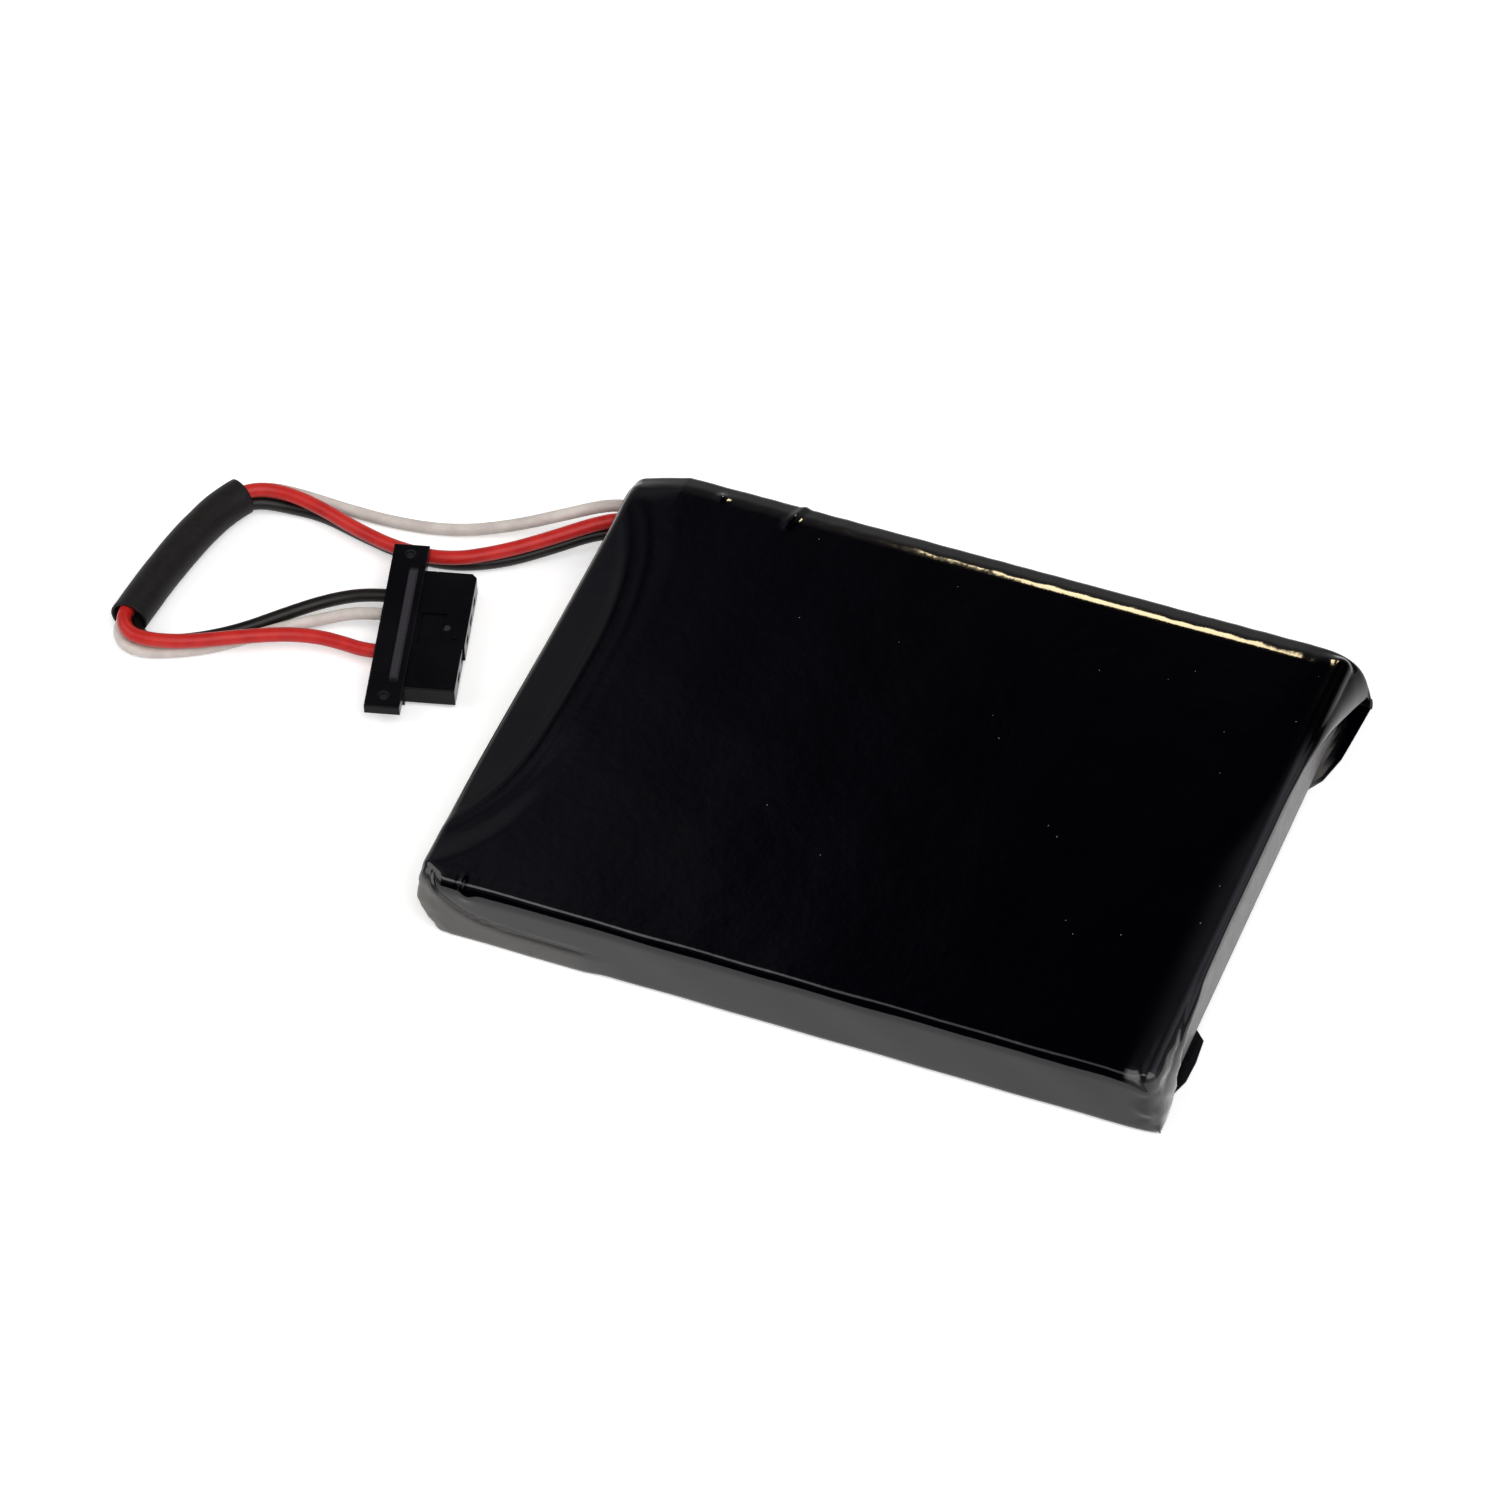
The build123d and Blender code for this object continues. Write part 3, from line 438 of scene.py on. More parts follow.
def from_corner(point):
    """A place in metres, from one in millimetres from the pack's corner."""
    return lead_corner + Vector(point) * mm


def link(name, data):
    """A new object in the scene."""
    piece = bpy.data.objects.new(name, data)
    bpy.context.scene.collection.objects.link(piece)
    return piece


def route_curve(name, route, radius=0):
    """Smooth curve with the route's corners as its control points."""
    curve = bpy.data.curves.new(name, "CURVE")
    curve.dimensions = "3D"
    curve.resolution_u = 12
    curve.bevel_depth = radius
    curve.bevel_resolution = 6
    curve.use_fill_caps = radius > 0
    spline = curve.splines.new("NURBS")
    spline.points.add(len(route) - 1)
    for point, corner in zip(spline.points, route):
        point.co = (*from_corner(corner), 1)
    spline.order_u = 3
    spline.use_endpoint_u = True
    return curve


def smooth_line(name, route):
    """Points along the smooth curve of a route."""
    guide = link(name, route_curve(name, route))
    view = bpy.context.evaluated_depsgraph_get()
    mesh = bpy.data.meshes.new_from_object(guide.evaluated_get(view))
    points = np.array([vertex.co for vertex in mesh.vertices])
    bpy.data.meshes.remove(mesh)
    bpy.data.objects.remove(guide)
    return points


def lead(slot, route, diameter):
    """One insulated lead, from its joint on the board to its contact in the connector."""
    piece = link(slot, route_curve(slot, route, diameter / 2))
    piece.data.materials.append(insulation(slot))
    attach(piece, "root")
    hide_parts(slot.replace("_insulation", "_lead"))


# ================================================================ mesh helpers


def smoothstep(value, low, high):
    """0 below low, 1 above high, smooth between them."""
    t = np.clip((value - low) / (high - low), 0, 1)
    return t * t * (3 - 2 * t)


def hump(value, centre, width):
    """A bell of height 1 round a centre."""
    return np.exp(-((value - centre) / width) ** 2)


def ring_faces(rows, columns):
    """Quads between rows of points, each row closed into a ring."""
    row, column = np.meshgrid(np.arange(rows - 1), np.arange(columns), indexing="ij")
    following = (column + 1) % columns
    corners = (row * columns + column, row * columns + following,
               (row + 1) * columns + following, (row + 1) * columns + column)
    return np.stack(corners, -1).reshape(-1, 4)


def mesh_piece(name, points, faces, material, grown):
    """A smooth-shaded piece from points in millimetres, with values that its finish reads."""
    mesh = bpy.data.meshes.new(name)
    mesh.from_pydata((np.asarray(points) * mm).tolist(), [], faces.tolist())
    mesh.shade_smooth()
    for key, values in grown.items():
        layer = mesh.attributes.new(key, "FLOAT", "POINT")
        layer.data.foreach_set("value", np.asarray(values, dtype=np.float32).ravel())
    mesh.materials.append(material)
    mesh.validate()
    return link(name, mesh)


# ================================================================ film

# Sizes in millimetres.
film_thickness = 0.1
half_length = (film_high.x - film_low.x) / 2 / mm
half_width = (film_high.y - film_low.y) / 2 / mm
height = (film_high.z - film_low.z) / mm
middle = height / 2
end_radius = 0.6
slope_reach = 1.7                   # the top falls away towards the back edge over this width
slope_drop = 0.38
body_end = half_length - 2.6        # from here the film leaves the cell's sides

# Closed end: a slit that is folded shut, but open round the leads.
mouth_centre = 17.3
mouth_half_width = 2.3
mouth_half_height = 1.05
nearly_shut = 0.05
slit_from_front = 2.4
slit_from_back = 1.6
slit_overlap = 0.45
mouth_sag = 0.25
fold_lift = 0.07
end_swell = 0.12

# Open end: the film turns over the rounded end of the cell's cup.
cell_end_radius = 0.8
cell_side_gap = 0.51                # film's outside to the side of the cell's cup
cell_gap = 0.17                     # film's outside to the cell's top, foot and end
film_to_cell = 0.04
cut_smoothing = 0.8                 # reach of the smoothing along the cut edge
turn_steps = 30

# Marks in the film: their place along the pack, or along it and across.
notch_at = -22.4
nick_at = -21.9
hem_at = -22.5
small_dent_at = (-19.6, 19.0)
seam_dent_at = (-14.3, 18.9)
seam_dent_slant = 0.22

# The terrace at the closed end, and how its corners and foot are drawn in.
terrace_slope = 0.17
terrace_turn = 0.16                 # the top turns down on to it over about this length
lead_tuck = 1.15
lead_corner_drop = 0.34
front_tuck = 0.75
corner_shift = 0.12
foot_lean = 0.35
front_foot_lean = 1.0
end_stand = 0.12                    # how far the end face stands out at its front edge
end_stand_behind = 0.3              # and how much farther behind it
ridge_allowance = 0.08              # the most that a ridge stands above the film's top

# Edges of the wrapped section as (y, z, radius, steps round it, steps along the flat after it).
section_edges = [
    (-half_width, height, 1.1, 15, 91),
    (half_width - slope_reach, height, 5.0, 9, 7),
    (half_width, height - slope_drop, 0.55, 8, 11),
    (half_width, 0, 0.5, 6, 25),
    (-half_width, 0, 0.4, 6, 20),
]

# Cut edge of the open end: where the film ends for a place (y, z) on the section, as (x, y, z).
cut_edge = [
    ((-20.5, 0.9), (25.75, -20.40, 0.14)), ((-20.5, 2.4), (25.85, -20.00, 0.20)),
    ((-20.5, 3.9), (25.85, -19.10, 0.24)), ((-20.2, 4.7), (25.80, -18.20, 0.26)),
    ((-19.0, 4.95), (25.75, -17.30, 0.60)), ((-17.4, 4.95), (25.72, -16.55, 1.90)),
    ((-16.0, 4.95), (25.70, -15.70, 3.20)), ((-14.2, 4.95), (25.62, -14.10, 4.02)),
    ((-11.9, 4.95), (25.55, -11.85, 4.40)), ((-11.0, 4.95), (25.36, -11.00, 4.62)),
    ((-6.0, 4.95), (25.28, -6.00, 4.62)), ((0.0, 4.95), (25.30, 0.00, 4.60)),
    ((6.0, 4.95), (25.30, 6.00, 4.60)), ((9.5, 4.95), (25.44, 9.50, 4.48)),
    ((12.0, 4.95), (25.60, 12.00, 4.02)), ((15.0, 4.95), (25.75, 14.95, 2.95)),
    ((17.0, 4.95), (25.92, 16.90, 2.10)), ((18.8, 4.92), (26.15, 18.75, 1.40)),
    ((20.3, 4.50), (26.42, 20.22, 0.88)), ((20.5, 3.0), (26.55, 20.42, 0.52)),
    ((20.5, 1.0), (26.70, 20.40, 0.14)), ((19.7, 0.0), (26.72, 20.00, 0.02)),
    ((17.6, 0.0), (26.55, 17.80, 0.01)), ((15.0, 0.0), (26.35, 15.10, 0.01)),
    ((12.8, 0.0), (25.80, 12.80, 0.02)), ((11.0, 0.0), (24.70, 11.00, 0.02)),
    ((0.0, 0.0), (24.60, 0.00, 0.02)), ((-10.6, 0.0), (24.70, -10.60, 0.02)),
    ((-11.7, 0.0), (25.90, -11.80, 0.08)), ((-13.6, 0.0), (26.02, -13.70, 0.10)),
    ((-15.4, 0.0), (25.95, -15.50, 0.08)), ((-16.6, 0.0), (25.55, -16.60, 0.05)),
    ((-19.6, 0.0), (25.70, -19.70, 0.03)),
]


def rounded_outline(edges):
    """Points round a closed outline whose corners are rounded."""
    corners = np.array([edge[:2] for edge in edges])
    before = np.roll(corners, 1, axis=0) - corners
    after = np.roll(corners, -1, axis=0) - corners
    arcs = []
    for corner, to_last, to_next, (_, _, radius, steps, _) in zip(corners, before, after, edges):
        to_last, to_next = to_last / np.linalg.norm(to_last), to_next / np.linalg.norm(to_next)
        half_turn = np.arccos(np.clip(to_last @ to_next, -1, 1)) / 2
        bisector = (to_last + to_next) / np.linalg.norm(to_last + to_next)
        centre = corner + bisector * radius / sin(half_turn)
        start = corner + to_last * radius / tan(half_turn) - centre
        sweep = -(pi - 2 * half_turn)
        angles = np.linspace(0, sweep, steps + 1)
        arcs.append([centre + np.array([start[0] * cos(a) - start[1] * sin(a),
                                        start[0] * sin(a) + start[1] * cos(a)]) for a in angles])
    outline = []
    for arc, following, edge in zip(arcs, arcs[1:] + arcs[:1], edges):
        flat = np.linspace(arc[-1], following[0], edge[4] + 1)[1:-1]
        outline += arc + list(flat)
    return np.array(outline)


def round_the_section(outline):
    """How far round the section each of its points lies."""
    step = np.linalg.norm(np.roll(outline, -1, axis=0) - outline, axis=1)
    return np.concatenate([[0], np.cumsum(step)[:-1]]), step.sum()


def slit_opening(y):
    """Half height of the slit in the closed end: nothing, but open round the leads."""
    return mouth_half_height * np.sqrt(np.clip(1 - ((y - mouth_centre) / mouth_half_width) ** 2, 0, 1))


def closed_end_rows(outline):
    """The folded end: from the slit in its middle out to the edge of the end face."""
    y, z = outline.T
    side = np.clip((z - middle) / (middle - 0.1), -1, 1)
    slit_y = np.clip(y, slit_from_front - half_width, half_width - slit_from_back)
    opening = slit_opening(slit_y)
    shut = opening < nearly_shut
    overlap = slit_overlap * shut
    slit_z = middle - mouth_sag * (opening > nearly_shut) + opening * side - overlap * side
    rows = []                       # inward is 1 at the slit and 0 at the outline
    for inward in (1.0, 0.86, 0.7, 0.55, 0.42, end_radius / middle):
        lift = fold_lift * side * smoothstep(inward, 0.6, 1.0) * shut
        swell = end_swell * np.sin(pi * inward) * hump(y, 0, 14)
        rows.append(np.stack([-half_length - lift - swell, y + (slit_y - y) * inward,
                              z + (slit_z - z) * inward], -1))
    for angle in np.linspace(0, pi / 2, 9)[1:]:
        inward = end_radius * (1 - sin(angle)) / middle
        x = -half_length + end_radius * (1 - cos(angle))
        rows.append(np.stack([np.full_like(y, x), y + (slit_y - y) * inward, z + (middle - z) * inward], -1))
    return rows


def body_stations():
    """Places along the pack, closer together where the film is creased."""
    # Stretches as (from, to, steps).
    stretches = ((-half_length + end_radius, -21.0, 48), (-21.0, -19.0, 14), (-19.0, -15.4, 12),
                 (-15.4, -13.0, 18), (-13.0, 21.0, 84), (21.0, body_end, 14))
    return np.concatenate([np.linspace(a, b, n, endpoint=False)[1:] for a, b, n in stretches] + [[body_end]])


def keep_off_cell(points):
    """Push points out to the film's distance from the cell's rounded end."""
    clearance = film_thickness + film_to_cell
    radius = cell_end_radius
    low = np.array([0.0, -half_width + cell_side_gap, cell_gap])
    high = np.array([half_length - cell_gap, half_width - cell_side_gap, height - cell_gap])
    centre, half = (low + high) / 2, (high - low) / 2
    offset = points - centre
    beyond = np.abs(offset) - (half - radius)
    outside = np.maximum(beyond, 0)
    reach = np.linalg.norm(outside, axis=-1)
    distance = reach + np.minimum(beyond.max(axis=-1), 0) - radius
    away = np.sign(offset) * outside / np.maximum(reach, 1e-6)[..., None]
    short = np.where(reach > 0, np.maximum(clearance - distance, 0), 0)
    return points + away * short[..., None]


def open_end_rows(outline):
    """The film beyond the cell's sides: it turns over the end to its cut edge."""
    place, length = round_the_section(outline)
    keys = []
    for at, end in cut_edge:
        nearest = np.argmin(np.linalg.norm(outline - np.array(at), axis=1))
        keys.append((place[nearest], *end))
    keys = np.array(sorted(keys))
    end = np.stack([np.interp(place, keys[:, 0], keys[:, k], period=length) for k in (1, 2, 3)], -1)
    apart = np.abs(place[:, None] - place[None, :])
    weight = hump(np.minimum(apart, length - apart), 0, cut_smoothing)
    smooth = weight @ end / weight.sum(axis=1, keepdims=True)
    start = np.column_stack([np.full(len(outline), body_end), outline])
    fall = np.linalg.norm(smooth[:, 1:] - outline, axis=1)
    bend = start.copy()             # the film stands out past its edge where it turns far over
    bend[:, 0] = smooth[:, 0] + np.minimum(0.6 * fall - 0.3, 0.28)
    rows = []
    for t in np.linspace(0, 1, turn_steps + 1)[1:]:
        row = (1 - t) ** 2 * start + 2 * t * (1 - t) * bend + t ** 2 * smooth
        rows.append(row + (keep_off_cell(row) - row) * smoothstep(t, 0.0, 0.35))
    return rows


def crease_line(y):
    """Where the film's top starts to fall over the terrace."""
    q = (y - 0.5) / 13
    return -21.9 - 0.5 * q ** 2 - 0.9 * q ** 4 - 0.4 * smoothstep(y, 3, 14)


def settle_top(x, y, z):
    """The film's sag over the terrace, with its raised crease and soft shoulder."""
    beyond = crease_line(y) - x
    facet = terrace_slope * terrace_turn * np.logaddexp(0, (beyond - 0.3) / terrace_turn)
    ridge = 0.040 * hump(beyond, 0.55, 0.30) + 0.012 * hump(beyond, -0.75, 0.35)
    shoulder = (0.03 + 0.16 * smoothstep(-y, 3, 16)) * smoothstep(beyond, -1.9 - 0.08 * np.abs(y), -0.25)
    return (facet + shoulder - ridge) * (z / height) ** 2


def corner_tucks(points, x, y, z):
    """Draw the closed end's top corners in: the lead corner far, the front one a little."""
    raised = (z / height) ** 2
    lead_side = np.clip((-22.5 - x) / 3.0, 0, 1) * smoothstep(y, 16.5, 20.3) * smoothstep(z, 0.5, 4.2)
    front_side = smoothstep(-x, 23.6, 25.4) * smoothstep(-y, 18.4, 20.3) * raised
    points[..., 1] += front_tuck * front_side - lead_tuck * lead_side
    points[..., 2] -= lead_corner_drop * lead_side * raised
    points[..., 0] += corner_shift * front_side - corner_shift * lead_side


def fold_level(x):
    """Height of the long fold in the front face, which climbs towards the closed end."""
    return 1.85 + 1.9 * np.exp(-(x + 23.8) / 1.6)


def creases(x, y, z):
    """Small folds and dents, as a push inwards; each place, width and depth is in millimetres."""
    top, front = smoothstep(z, 4.2, 4.8), smoothstep(-y, 19.9, 20.4)
    upper_edge = smoothstep(-y, 19.3, 19.9) * smoothstep(z, 3.9, 4.3)
    nick = 0.10 * hump(x, nick_at, 0.45) * hump(z, 4.0, 0.3) * front
    notch = 0.035 * hump(x, notch_at, 0.2) * upper_edge + nick
    hem = 0.02 * smoothstep(x, hem_at, hem_at - 0.4) * upper_edge
    fold = fold_level(x)
    under_fold = 0.16 * smoothstep(fold - z, -0.06, 0.25) * front * smoothstep(-x, 12.0, 14.0)
    ridge = -0.10 * hump(z, fold, 0.14) * front * smoothstep(-x, 12.5, 15.0)
    seam_x = seam_dent_at[0] + seam_dent_slant * (y - seam_dent_at[1])
    seam_dent = 0.13 * hump(x, seam_x, 0.28) * smoothstep(y, 17.6, 18.6) * smoothstep(z, 2.8, 4.2)
    small_dent = 0.12 * hump(x, small_dent_at[0], 0.3) * hump(y, small_dent_at[1], 0.35) * top
    waves = 0.006 * np.sin(0.55 * x + 0.3 * y) * np.sin(0.31 * y - 0.2 * x + 1.0) * top
    front_waves = 0.02 * np.sin(0.7 * x + 1.2 * z) * np.sin(0.23 * x + 0.4) * front
    wander = np.sin(2.9 * x + 2.1 * np.sin(0.43 * x)) + 0.8 * np.sin(1.73 * x + 1.9 * np.sin(0.61 * x + 1))
    edge_ripple = 0.008 * wander * smoothstep(y, 18.6, 19.4) * smoothstep(z, 3.0, 4.2)
    crown = 0.02 * (1 - hump(x, 4, 17) * hump(y, 3, 14)) * top
    return (notch + hem + under_fold + ridge + seam_dent + small_dent
            + waves + front_waves + edge_ripple + crown)


def corner_gathers(x, y, z):
    """Ripples where the film is drawn in at the closed end's front corner."""
    near = smoothstep(-x, 23.6, 25.0) * smoothstep(-y, 18.6, 20.2) * smoothstep(4.3 - z, 0, 0.8)
    return near * (0.03 * np.sin(4.2 * z + 1.5 * x) + 0.012 * np.sin(9.0 * z - 2.0 * x + 1))


def end_gathers(x, y, z):
    """Crumples where the film turns over the open end's front corner."""
    near = smoothstep(x, 23.6, 24.8) * smoothstep(-y, 13.0, 16.5) * smoothstep(z, 0.2, 1.0)
    near = near * (1 - 0.9 * smoothstep(z, 4.2, 4.75))
    broad = 0.055 * np.sin(3.4 * z + 2.6 * y + 0.4)
    fine = 0.03 * np.sin(7.3 * z - 3.1 * y) * np.sin(2.2 * x)
    return near * (broad + fine)


def bottom_cut(y, z):
    """How far the closed end leans in towards its foot, most at the front corner."""
    lean = smoothstep(2.5 - z, 0, 2.5)
    return lean * (foot_lean + front_foot_lean * smoothstep(-y, 16.5, 20.2))


def outward(points):
    """Normal of each point of the closed grid."""
    along = np.gradient(points, axis=0)
    around = (np.roll(points, -1, axis=1) - np.roll(points, 1, axis=1)) / 2
    normal = np.cross(around, along)
    return normal / np.maximum(np.linalg.norm(normal, axis=-1, keepdims=True), 1e-9)


def film_surface():
    """The film's outer skin, row by row from the closed end, and where it lies before it creases."""
    outline = rounded_outline(section_edges)
    body = [np.column_stack([np.full(len(outline), x), outline]) for x in body_stations()]
    closed = closed_end_rows(outline)
    points = np.array(closed + body + open_end_rows(outline))
    x, y, z = np.moveaxis(points, -1, 0).copy()
    inside_end = smoothstep(body_end - x, 0.0, 0.8)
    normal = outward(points)
    push = creases(x, y, z) * inside_end - corner_gathers(x, y, z) - end_gathers(x, y, z)
    points = points - normal * push[..., None]
    points[..., 2] -= settle_top(x, y, z)
    points[..., 0] += bottom_cut(y, z) * smoothstep(-x, 22.0, 25.0)
    stand = end_stand + end_stand_behind * smoothstep(y, -20, -8)
    points[..., 0] -= stand * smoothstep(-x, 22.5, 25.3)
    corner_tucks(points, x, y, z)
    points[..., 2] = np.clip(points[..., 2], 0, height + ridge_allowance)
    return points, (x, y, z)


def painted_dark_corner(x, y, z):
    """Where painted shade darkens the film over the open end's back corner: made metallic black there, it
    mirrors the least.
    """
    return smoothstep(x, 24.0, 24.9) * smoothstep(y, 8.5, 13.0) * smoothstep(z, 0.6, 1.4)


def stretch_haze_and_painted_light(x, y, z):
    """How dull and pale the film is, from 0 to 1, summed over its places: where it is stretched thin, and
    where painted sheen, painted highlights and painted light are laid on it.
    """
    front, back = smoothstep(-y, 20.1, 20.5), smoothstep(y, 20.0, 20.5)
    top = smoothstep(z, 3.5, 4.25)
    # Front face: partly dull stretched film, partly painted reflection of the bright floor, paler to the
    # left, below the long fold and towards the foot.
    below_fold = smoothstep(fold_level(x) - z, -0.3, 0.3) * smoothstep(-x, 10.0, 17.0)
    foot = smoothstep(3.5 - z, 0, 3)
    front_haze_and_painted_reflection = front * (1 - top) * (0.180 - 0.0045 * x + 0.26 * below_fold + 0.06 * foot)
    corner = smoothstep(x, 24.6, 25.6) * smoothstep(-y, 18.6, 20.3) * smoothstep(z, 0.5, 1.2)
    closed_corner = smoothstep(-x, 24.2, 25.2) * smoothstep(-y, 18.6, 20.2)
    closed_corner = closed_corner * (1 - 0.9 * smoothstep(z, 3.9, 4.7))
    rear = (0.3 * back + 0.22 * smoothstep(y, 18.9, 19.5) * top) * smoothstep(-x, -25.0, -21.5)
    reach = 1.4 + 1.7 * smoothstep(-y, -8.0, 2.0)
    lip = smoothstep(x, 25.4 - reach, 25.4 - 0.3 * reach) * smoothstep(z, 2.0, 4.0)
    # Painted shade: the lip is kept less pale at the dark corner.
    dimmed_by_painted_shade = 1 - 0.6 * painted_dark_corner(x, y, z)
    # Painted highlight: a thin bright line on the last rows of the cut edge along the top lip.
    painted_rim_highlight = np.zeros_like(x)
    painted_rim_highlight[-2:] = 0.5 * (smoothstep(z, 4.2, 4.5) * smoothstep(8.0 - y, 0, 3) * smoothstep(y, -15, -11))[-2:]
    # Painted light: the bottom flap at the open end's back corner, which lies in shade, is made paler.
    painted_flap_light = smoothstep(y, 10.6, 11.6) * smoothstep(17.8 - y, 0, 1.6) * smoothstep(0.8 - z, 0, 0.5)
    painted_flap_light = painted_flap_light * smoothstep(25.72 - 0.1 * (y - 13) - x, 0, 0.12) * smoothstep(x, 24.0, 24.5)
    # Painted sheen: the facet where the top falls over the terrace is made paler, standing in for what its
    # tilt reflects.
    beyond = crease_line(y) - x
    facet = 0.09 * smoothstep(beyond, 0, 1.5) * smoothstep(-y, 2, 16)
    terrace = (facet + 0.045 * hump(beyond, 0.5, 0.5)) * top
    return np.clip(front_haze_and_painted_reflection + 0.5 * corner + 0.9 * closed_corner + rear + 0.17 * lip * dimmed_by_painted_shade
                   + painted_rim_highlight + terrace + painted_flap_light, 0, 1)


def wrap_film():
    """The film sleeve shrunk round the cell."""
    points, at_rest = film_surface()
    rows, columns = points.shape[:2]
    piece = mesh_piece("film_wrap", points.reshape(-1, 3), ring_faces(rows, columns)[:, ::-1],
                       film_finish(), {"haze_and_sheen": stretch_haze_and_painted_light(*at_rest), "dark": painted_dark_corner(*at_rest)})
    wall = piece.modifiers.new("wall", "SOLIDIFY")
    wall.thickness = film_thickness * mm
    wall.offset = -1
    wall.use_quality_normals = True
    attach(piece, "root")
    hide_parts("wrap_film")
    return piece


# ================================================================ sleeve

sleeve_diameter = 2.68 * mm
sleeve_wall = 0.18 * mm
lump_level = 0.62                   # the noise stands above this at a lump, below it in a hollow


class Growing(Wiring):
    """A Geometry Nodes tree with named inputs, grown on a piece and then made plain."""

    def __init__(self, name, sizes):
        group = bpy.data.node_groups.new(name, "GeometryNodeTree")
        super().__init__(group)
        face = group.interface
        face.new_socket("Geometry", in_out="INPUT", socket_type="NodeSocketGeometry")
        face.new_socket("Geometry", in_out="OUTPUT", socket_type="NodeSocketGeometry")
        self.sizes = {}
        for label, size in sizes.items():
            kind = "NodeSocketInt" if isinstance(size, int) else "NodeSocketFloat"
            self.sizes[label] = (face.new_socket(label, in_out="INPUT", socket_type=kind).identifier, size)
        self.given = self.node("NodeGroupInput")

    def marked(self, curve, name, value):
        """Keep a value on the points of a curve, for a finish to read by its name."""
        return self.node("GeometryNodeStoreNamedAttribute", {"data_type": "FLOAT", "domain": "POINT"}, {
            "Geometry": curve, "Name": name, "Value": value}).value("Geometry")

    def plain(self, piece, made, material):
        """Run the tree on the piece and keep what it made, in its finish, as an ordinary mesh."""
        real = self.node("GeometryNodeRealizeInstances", {}, {"Geometry": made}).value("Geometry")
        dressed = self.node("GeometryNodeSetMaterial", {}, {
            "Geometry": real, "Material": material}).value("Geometry")
        self.node("NodeGroupOutput", {}, {"Geometry": dressed})
        growth = piece.modifiers.new("growth", "NODES")
        growth.node_group = self.tree
        for identifier, size in self.sizes.values():
            growth[identifier] = size
        view = bpy.context.evaluated_depsgraph_get()
        mesh = bpy.data.meshes.new_from_object(piece.evaluated_get(view))
        piece.modifiers.remove(growth)
        piece.data = mesh
        mesh.shade_smooth()
        return piece


def line_mesh(name, points):
    """A bare line through points."""
    mesh = bpy.data.meshes.new(name)
    mesh.from_pydata(points.tolist(), [(i, i + 1) for i in range(len(points) - 1)], [])
    return link(name, mesh)


def lead_sleeve():
    """Shrink tubing over the three leads, slightly lumpy along its length."""
    tree = Growing("sleeve", {"Outer Radius": sleeve_diameter / 2, "Lump Height": 0.05 * mm, "Seed": 3.0})
    path = tree.node("GeometryNodeMeshToCurve", {}, {"Mesh": tree.given.value("Geometry")}).value("Curve")
    even = tree.node("GeometryNodeResampleCurve", {}, {"Curve": path, "Count": 120}).value("Curve")
    along = tree.node("GeometryNodeSplineParameter").value("Length")
    marked = tree.marked(even, "along", along)
    ring = tree.node("GeometryNodeCurvePrimitiveCircle", {}, {
        "Resolution": 64, "Radius": tree.given.value("Outer Radius")}).value("Curve")
    turn = tree.node("GeometryNodeSplineParameter").value("Factor")
    turned = tree.marked(ring, "around", turn)
    tube = tree.node("GeometryNodeCurveToMesh", {}, {"Curve": marked, "Profile Curve": turned}).value("Mesh")
    lumps = tree.node("ShaderNodeTexNoise", {"noise_dimensions": "4D"}, {
        "W": tree.given.value("Seed"), "Scale": 330.0, "Detail": 1.0}).value(0)
    rise = (lumps - lump_level) * 2 * tree.given.value("Lump Height")
    normal = tree.node("GeometryNodeInputNormal").value("Normal")
    push = tree.node("ShaderNodeVectorMath", {"operation": "SCALE"}, {
        0: normal, "Scale": rise}).value("Vector")
    lumpy = tree.node("GeometryNodeSetPosition", {}, {"Geometry": tube, "Offset": push}).value("Geometry")
    line = line_mesh("sleeve_tube", smooth_line("sleeve_line", sleeve_route))
    piece = tree.plain(line, lumpy, sleeve_finish())
    wall = piece.modifiers.new("wall", "SOLIDIFY")
    wall.thickness = sleeve_wall
    wall.offset = -1
    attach(piece, "root")
    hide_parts("lead_sleeve")
    return piece


# ================================================================ specks

speck_count = 22
speck_corner = (24.0, 17.5)         # the specks lie from here, in millimetres
speck_reach = (36.0, 32.0)
speck_drop = 0.01                   # height in metres that they drop from, on to the film


def speck_places():
    """Places of the specks over the film's top, closer together near the open end's back corner."""
    along, across = np.random.default_rng(5).random((2, speck_count))
    return zip(speck_corner[0] - speck_reach[0] * along ** 1.6,
               speck_corner[1] - speck_reach[1] * across ** 1.3)


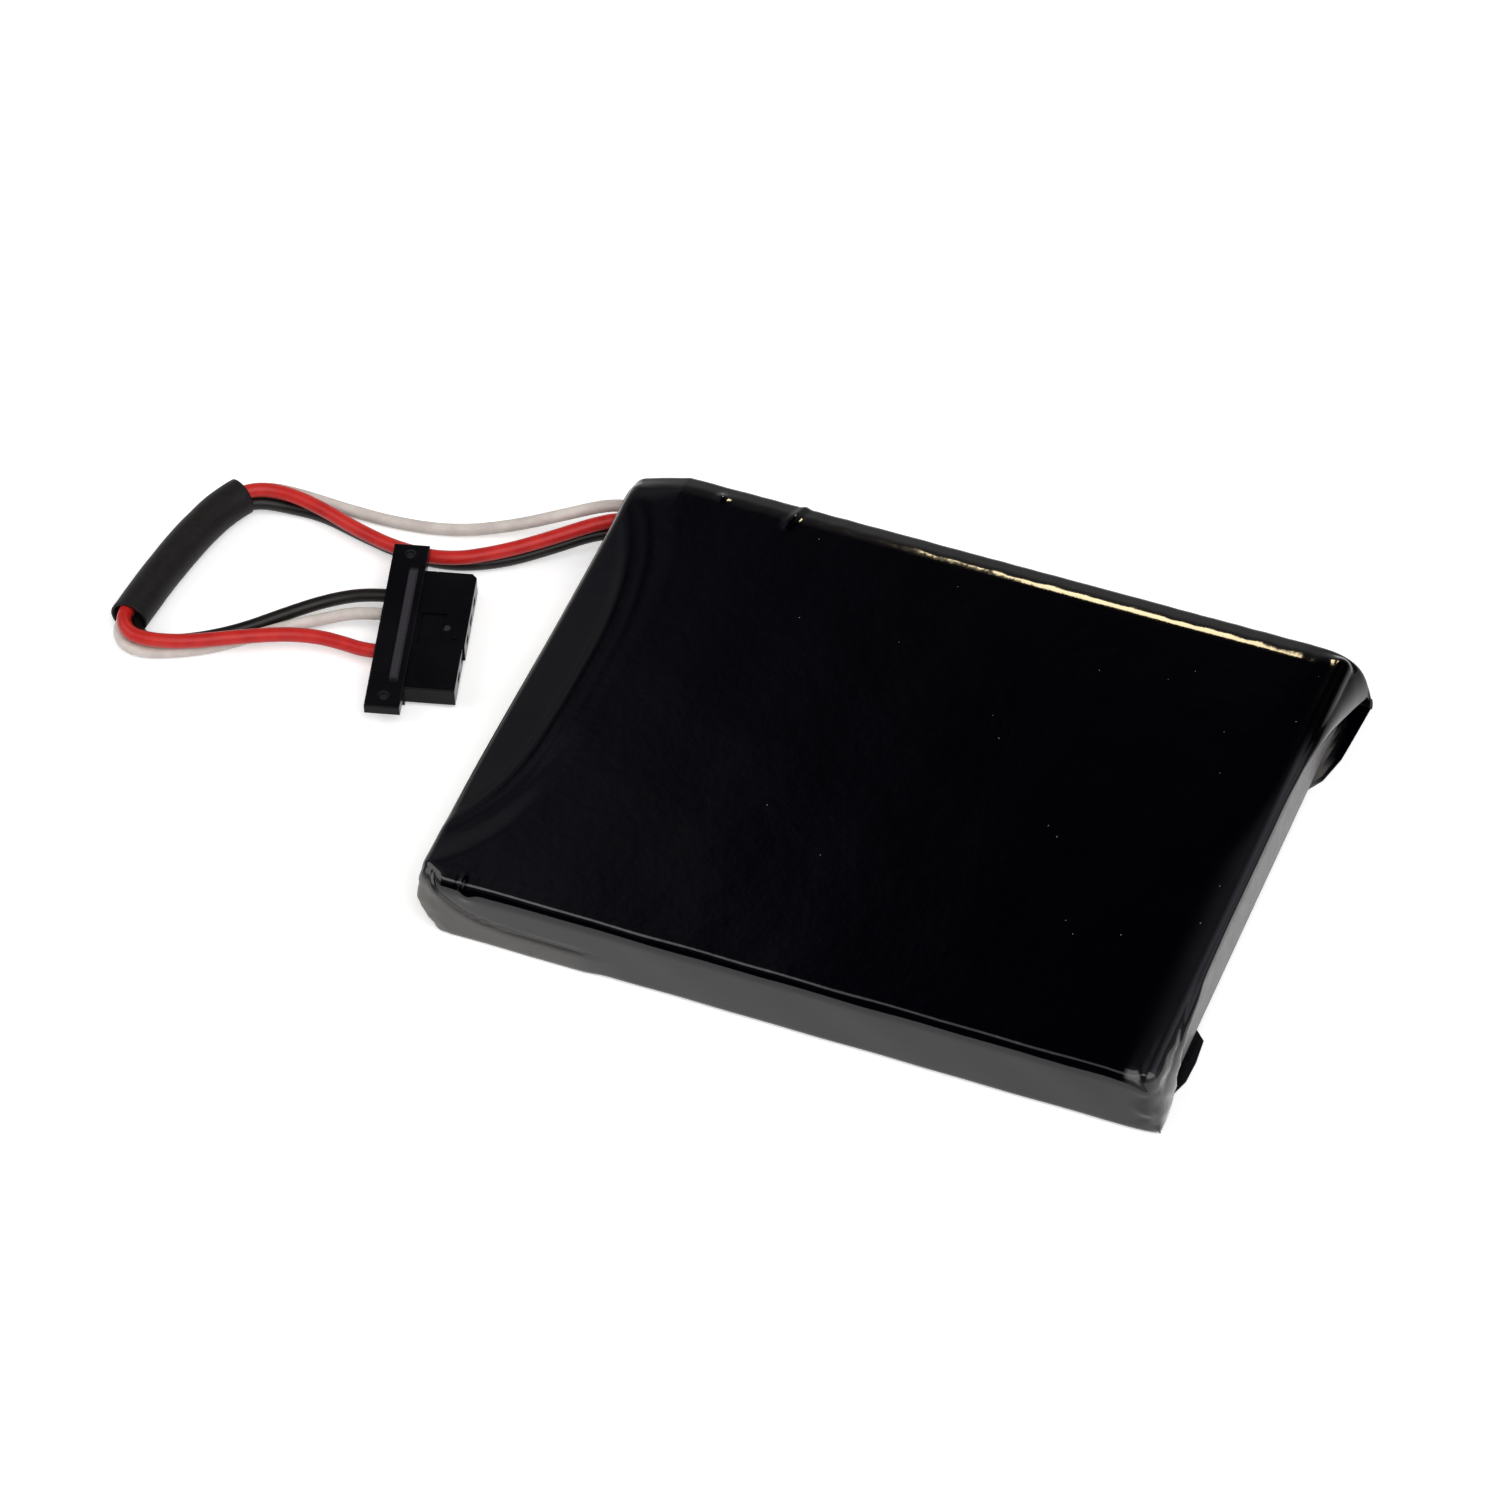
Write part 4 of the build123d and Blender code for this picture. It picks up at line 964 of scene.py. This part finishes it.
def film_specks(film):
    """Fine dust caught under the film, each a tiny bump on its top."""
    tree = Growing("specks", {"Radius": 0.045 * mm, "Smallest": 0.35, "Seed": 11})
    surface = tree.node("GeometryNodeObjectInfo", {}, {"Object": film}).value("Geometry")
    touched = tree.node("GeometryNodeRaycast", {}, {
        "Target Geometry": surface, "Ray Direction": (0, 0, -1),
        "Ray Length": 2 * speck_drop}).value("Hit Position")
    on_film = tree.node("GeometryNodeSetPosition", {}, {
        "Geometry": tree.given.value("Geometry"), "Position": touched}).value("Geometry")
    bead = tree.node("GeometryNodeMeshIcoSphere", {}, {
        "Radius": tree.given.value("Radius"), "Subdivisions": 2}).value("Mesh")
    chance = tree.node("FunctionNodeRandomValue", {"data_type": "FLOAT"}, {
        "Min": tree.given.value("Smallest"), "Max": 1.0, "Seed": tree.given.value("Seed")}).value("Value")
    placed = tree.node("GeometryNodeInstanceOnPoints", {}, {
        "Points": on_film, "Instance": bead, "Scale": chance}).value("Instances")
    dust = speckled("dust", (0.10, 0.10, 0.12), (0.30, 0.30, 0.32), 9000, 0.5)
    above = bpy.data.meshes.new("speck_places")
    above.from_pydata([(x * mm, y * mm, speck_drop) for x, y in speck_places()], [], [])
    piece = tree.plain(link("film_specks", above), placed, dust)
    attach(piece, "root")


# ================================================================ floor, lamps and surroundings


def floor():
    """Pale matt floor; rays that only look at it see it as near white."""
    mesh = bpy.data.meshes.new("floor")
    edge = 2.0                      # half its side, in metres
    level = film_low.z - 0.02 * mm  # clear of the film's foot
    lift = 0.36                     # brightness added for rays that only look at it
    mesh.from_pydata([(-edge, -edge, level), (edge, -edge, level), (edge, edge, level), (-edge, edge, level)],
                     [], [(0, 1, 2, 3)])
    piece = link("floor", mesh)

    def build(work):
        paper = work.noise(60, 2, 0.5)
        ray = work.node("ShaderNodeLightPath")
        looked_at = ray.value("Is Camera Ray") + ray.value("Is Glossy Ray") + ray.value("Is Transmission Ray")
        glow = work.mix(looked_at, (0, 0, 0), (lift, lift, lift))
        return {"Base Color": work.mix(work.ramp(paper, 0.3, 0.7), (0.885, 0.885, 0.885), (0.9, 0.9, 0.9)),
                "Emission Color": glow}
    mesh.materials.append(finish("floor", build, Emission_Strength=1.0, Roughness=1.0,
                                 Specular_IOR_Level=0.0))


def soft_lamp(name, place, aim, width, length, power, colour):
    """A rectangular lamp at a place in metres, facing its aim, its width level."""
    data = bpy.data.lights.new(name, "AREA")
    data.shape = "RECTANGLE"
    data.size = width
    data.size_y = length
    data.energy = power
    data.color = colour
    lamp = bpy.data.objects.new(name, data)
    bpy.context.scene.collection.objects.link(lamp)
    place, aim = Vector(place), Vector(aim)
    turn = (aim - place).to_track_quat("-Z", "Y").to_matrix().to_4x4()
    lamp.matrix_world = Matrix.Translation(place) @ turn


def surroundings():
    """Studio tent: bright sides, a pale wall that fades as it rises, a card over the top, a box in front."""
    world = bpy.data.worlds.new("studio")
    bpy.context.scene.world = world
    world.use_nodes = True
    work = Wiring(world.node_tree)
    direction = work.node("ShaderNodeTexCoord").value("Generated")
    split = work.node("ShaderNodeSeparateXYZ", {}, {"Vector": direction})
    # Parts of a unit direction: z is 0 level with the floor and 1 overhead, y is less than 0 in front.
    x, y, z = split.value("X"), split.value("Y"), split.value("Z")
    sides = work.ramp(x, -0.55, -0.42, (1, 0)) + work.ramp(x, -0.10, 0.12)
    sides = sides * work.ramp(y, -0.02, 0.14, (1, 0)) * work.ramp(z, 0.40, 0.58, (0.5, 2.2))
    wall = work.ramp(y, 0.05, 0.3) * work.ramp(z, 0.08, 0.68, (0.56, 0)) * work.ramp(x, 0.1, 0.5, (1, 0.4))
    gradient = work.ramp(z, 0.64, 0.70, (0.9, 0.5)) + work.ramp(z, 0.705, 0.745, (0, 0.6))
    card = work.ramp(x, -0.34, -0.21, (0.2, 0)) * gradient * work.ramp(z, 0.45, 0.6)
    upper_right = work.ramp(x, -0.12, 0.65, (0, 0.65)) * work.ramp(z, 0.45, 0.6)
    front_box = work.ramp(y, -0.30, -0.42) * work.ramp(z, 0.73, 0.77) * work.ramp(z, 0.86, 0.90, (3.0, 0))
    front_box = front_box * work.ramp(x, -0.31, -0.20, (1, 0.35))
    level = sides + wall + card + upper_right + front_box
    ray = work.node("ShaderNodeLightPath")
    tint = work.mix(work.ramp(z, 0.54, 0.66) * work.ramp(y, 0.0, 0.2), (1, 1, 1), (0.94, 0.97, 1.10))
    tent = work.node("ShaderNodeBackground", {}, {"Strength": level, "Color": tint})
    white = work.node("ShaderNodeBackground", {}, {"Strength": 1.0, "Color": (1, 1, 1, 1)})
    seen = work.node("ShaderNodeMixShader", {}, {
        0: ray.value("Is Camera Ray"), 1: tent.value("Background"), 2: white.value("Background")})
    work.node("ShaderNodeOutputWorld", {}, {"Surface": seen.value("Shader")})


# ================================================================ everything in its place

slot_of = {part["node"]: part["material_slot"] for part in frame["record"]["subparts"]}
bpy.context.scene.view_settings.view_transform = "Standard"

film = wrap_film()
film_specks(film)
tubing = lead_sleeve()
lead("red_insulation", red_route, red_diameter)
lead("black_insulation", black_route, black_diameter)
lead("white_insulation", white_route, white_diameter)
dress_nodes()

floor()
surroundings()
soft_lamp("warm_strip", place=(-0.114, 0.480, 0.350), aim=(0, 0, 0), width=0.046, length=0.090,
          power=0.27, colour=(1.0, 0.82, 0.50))
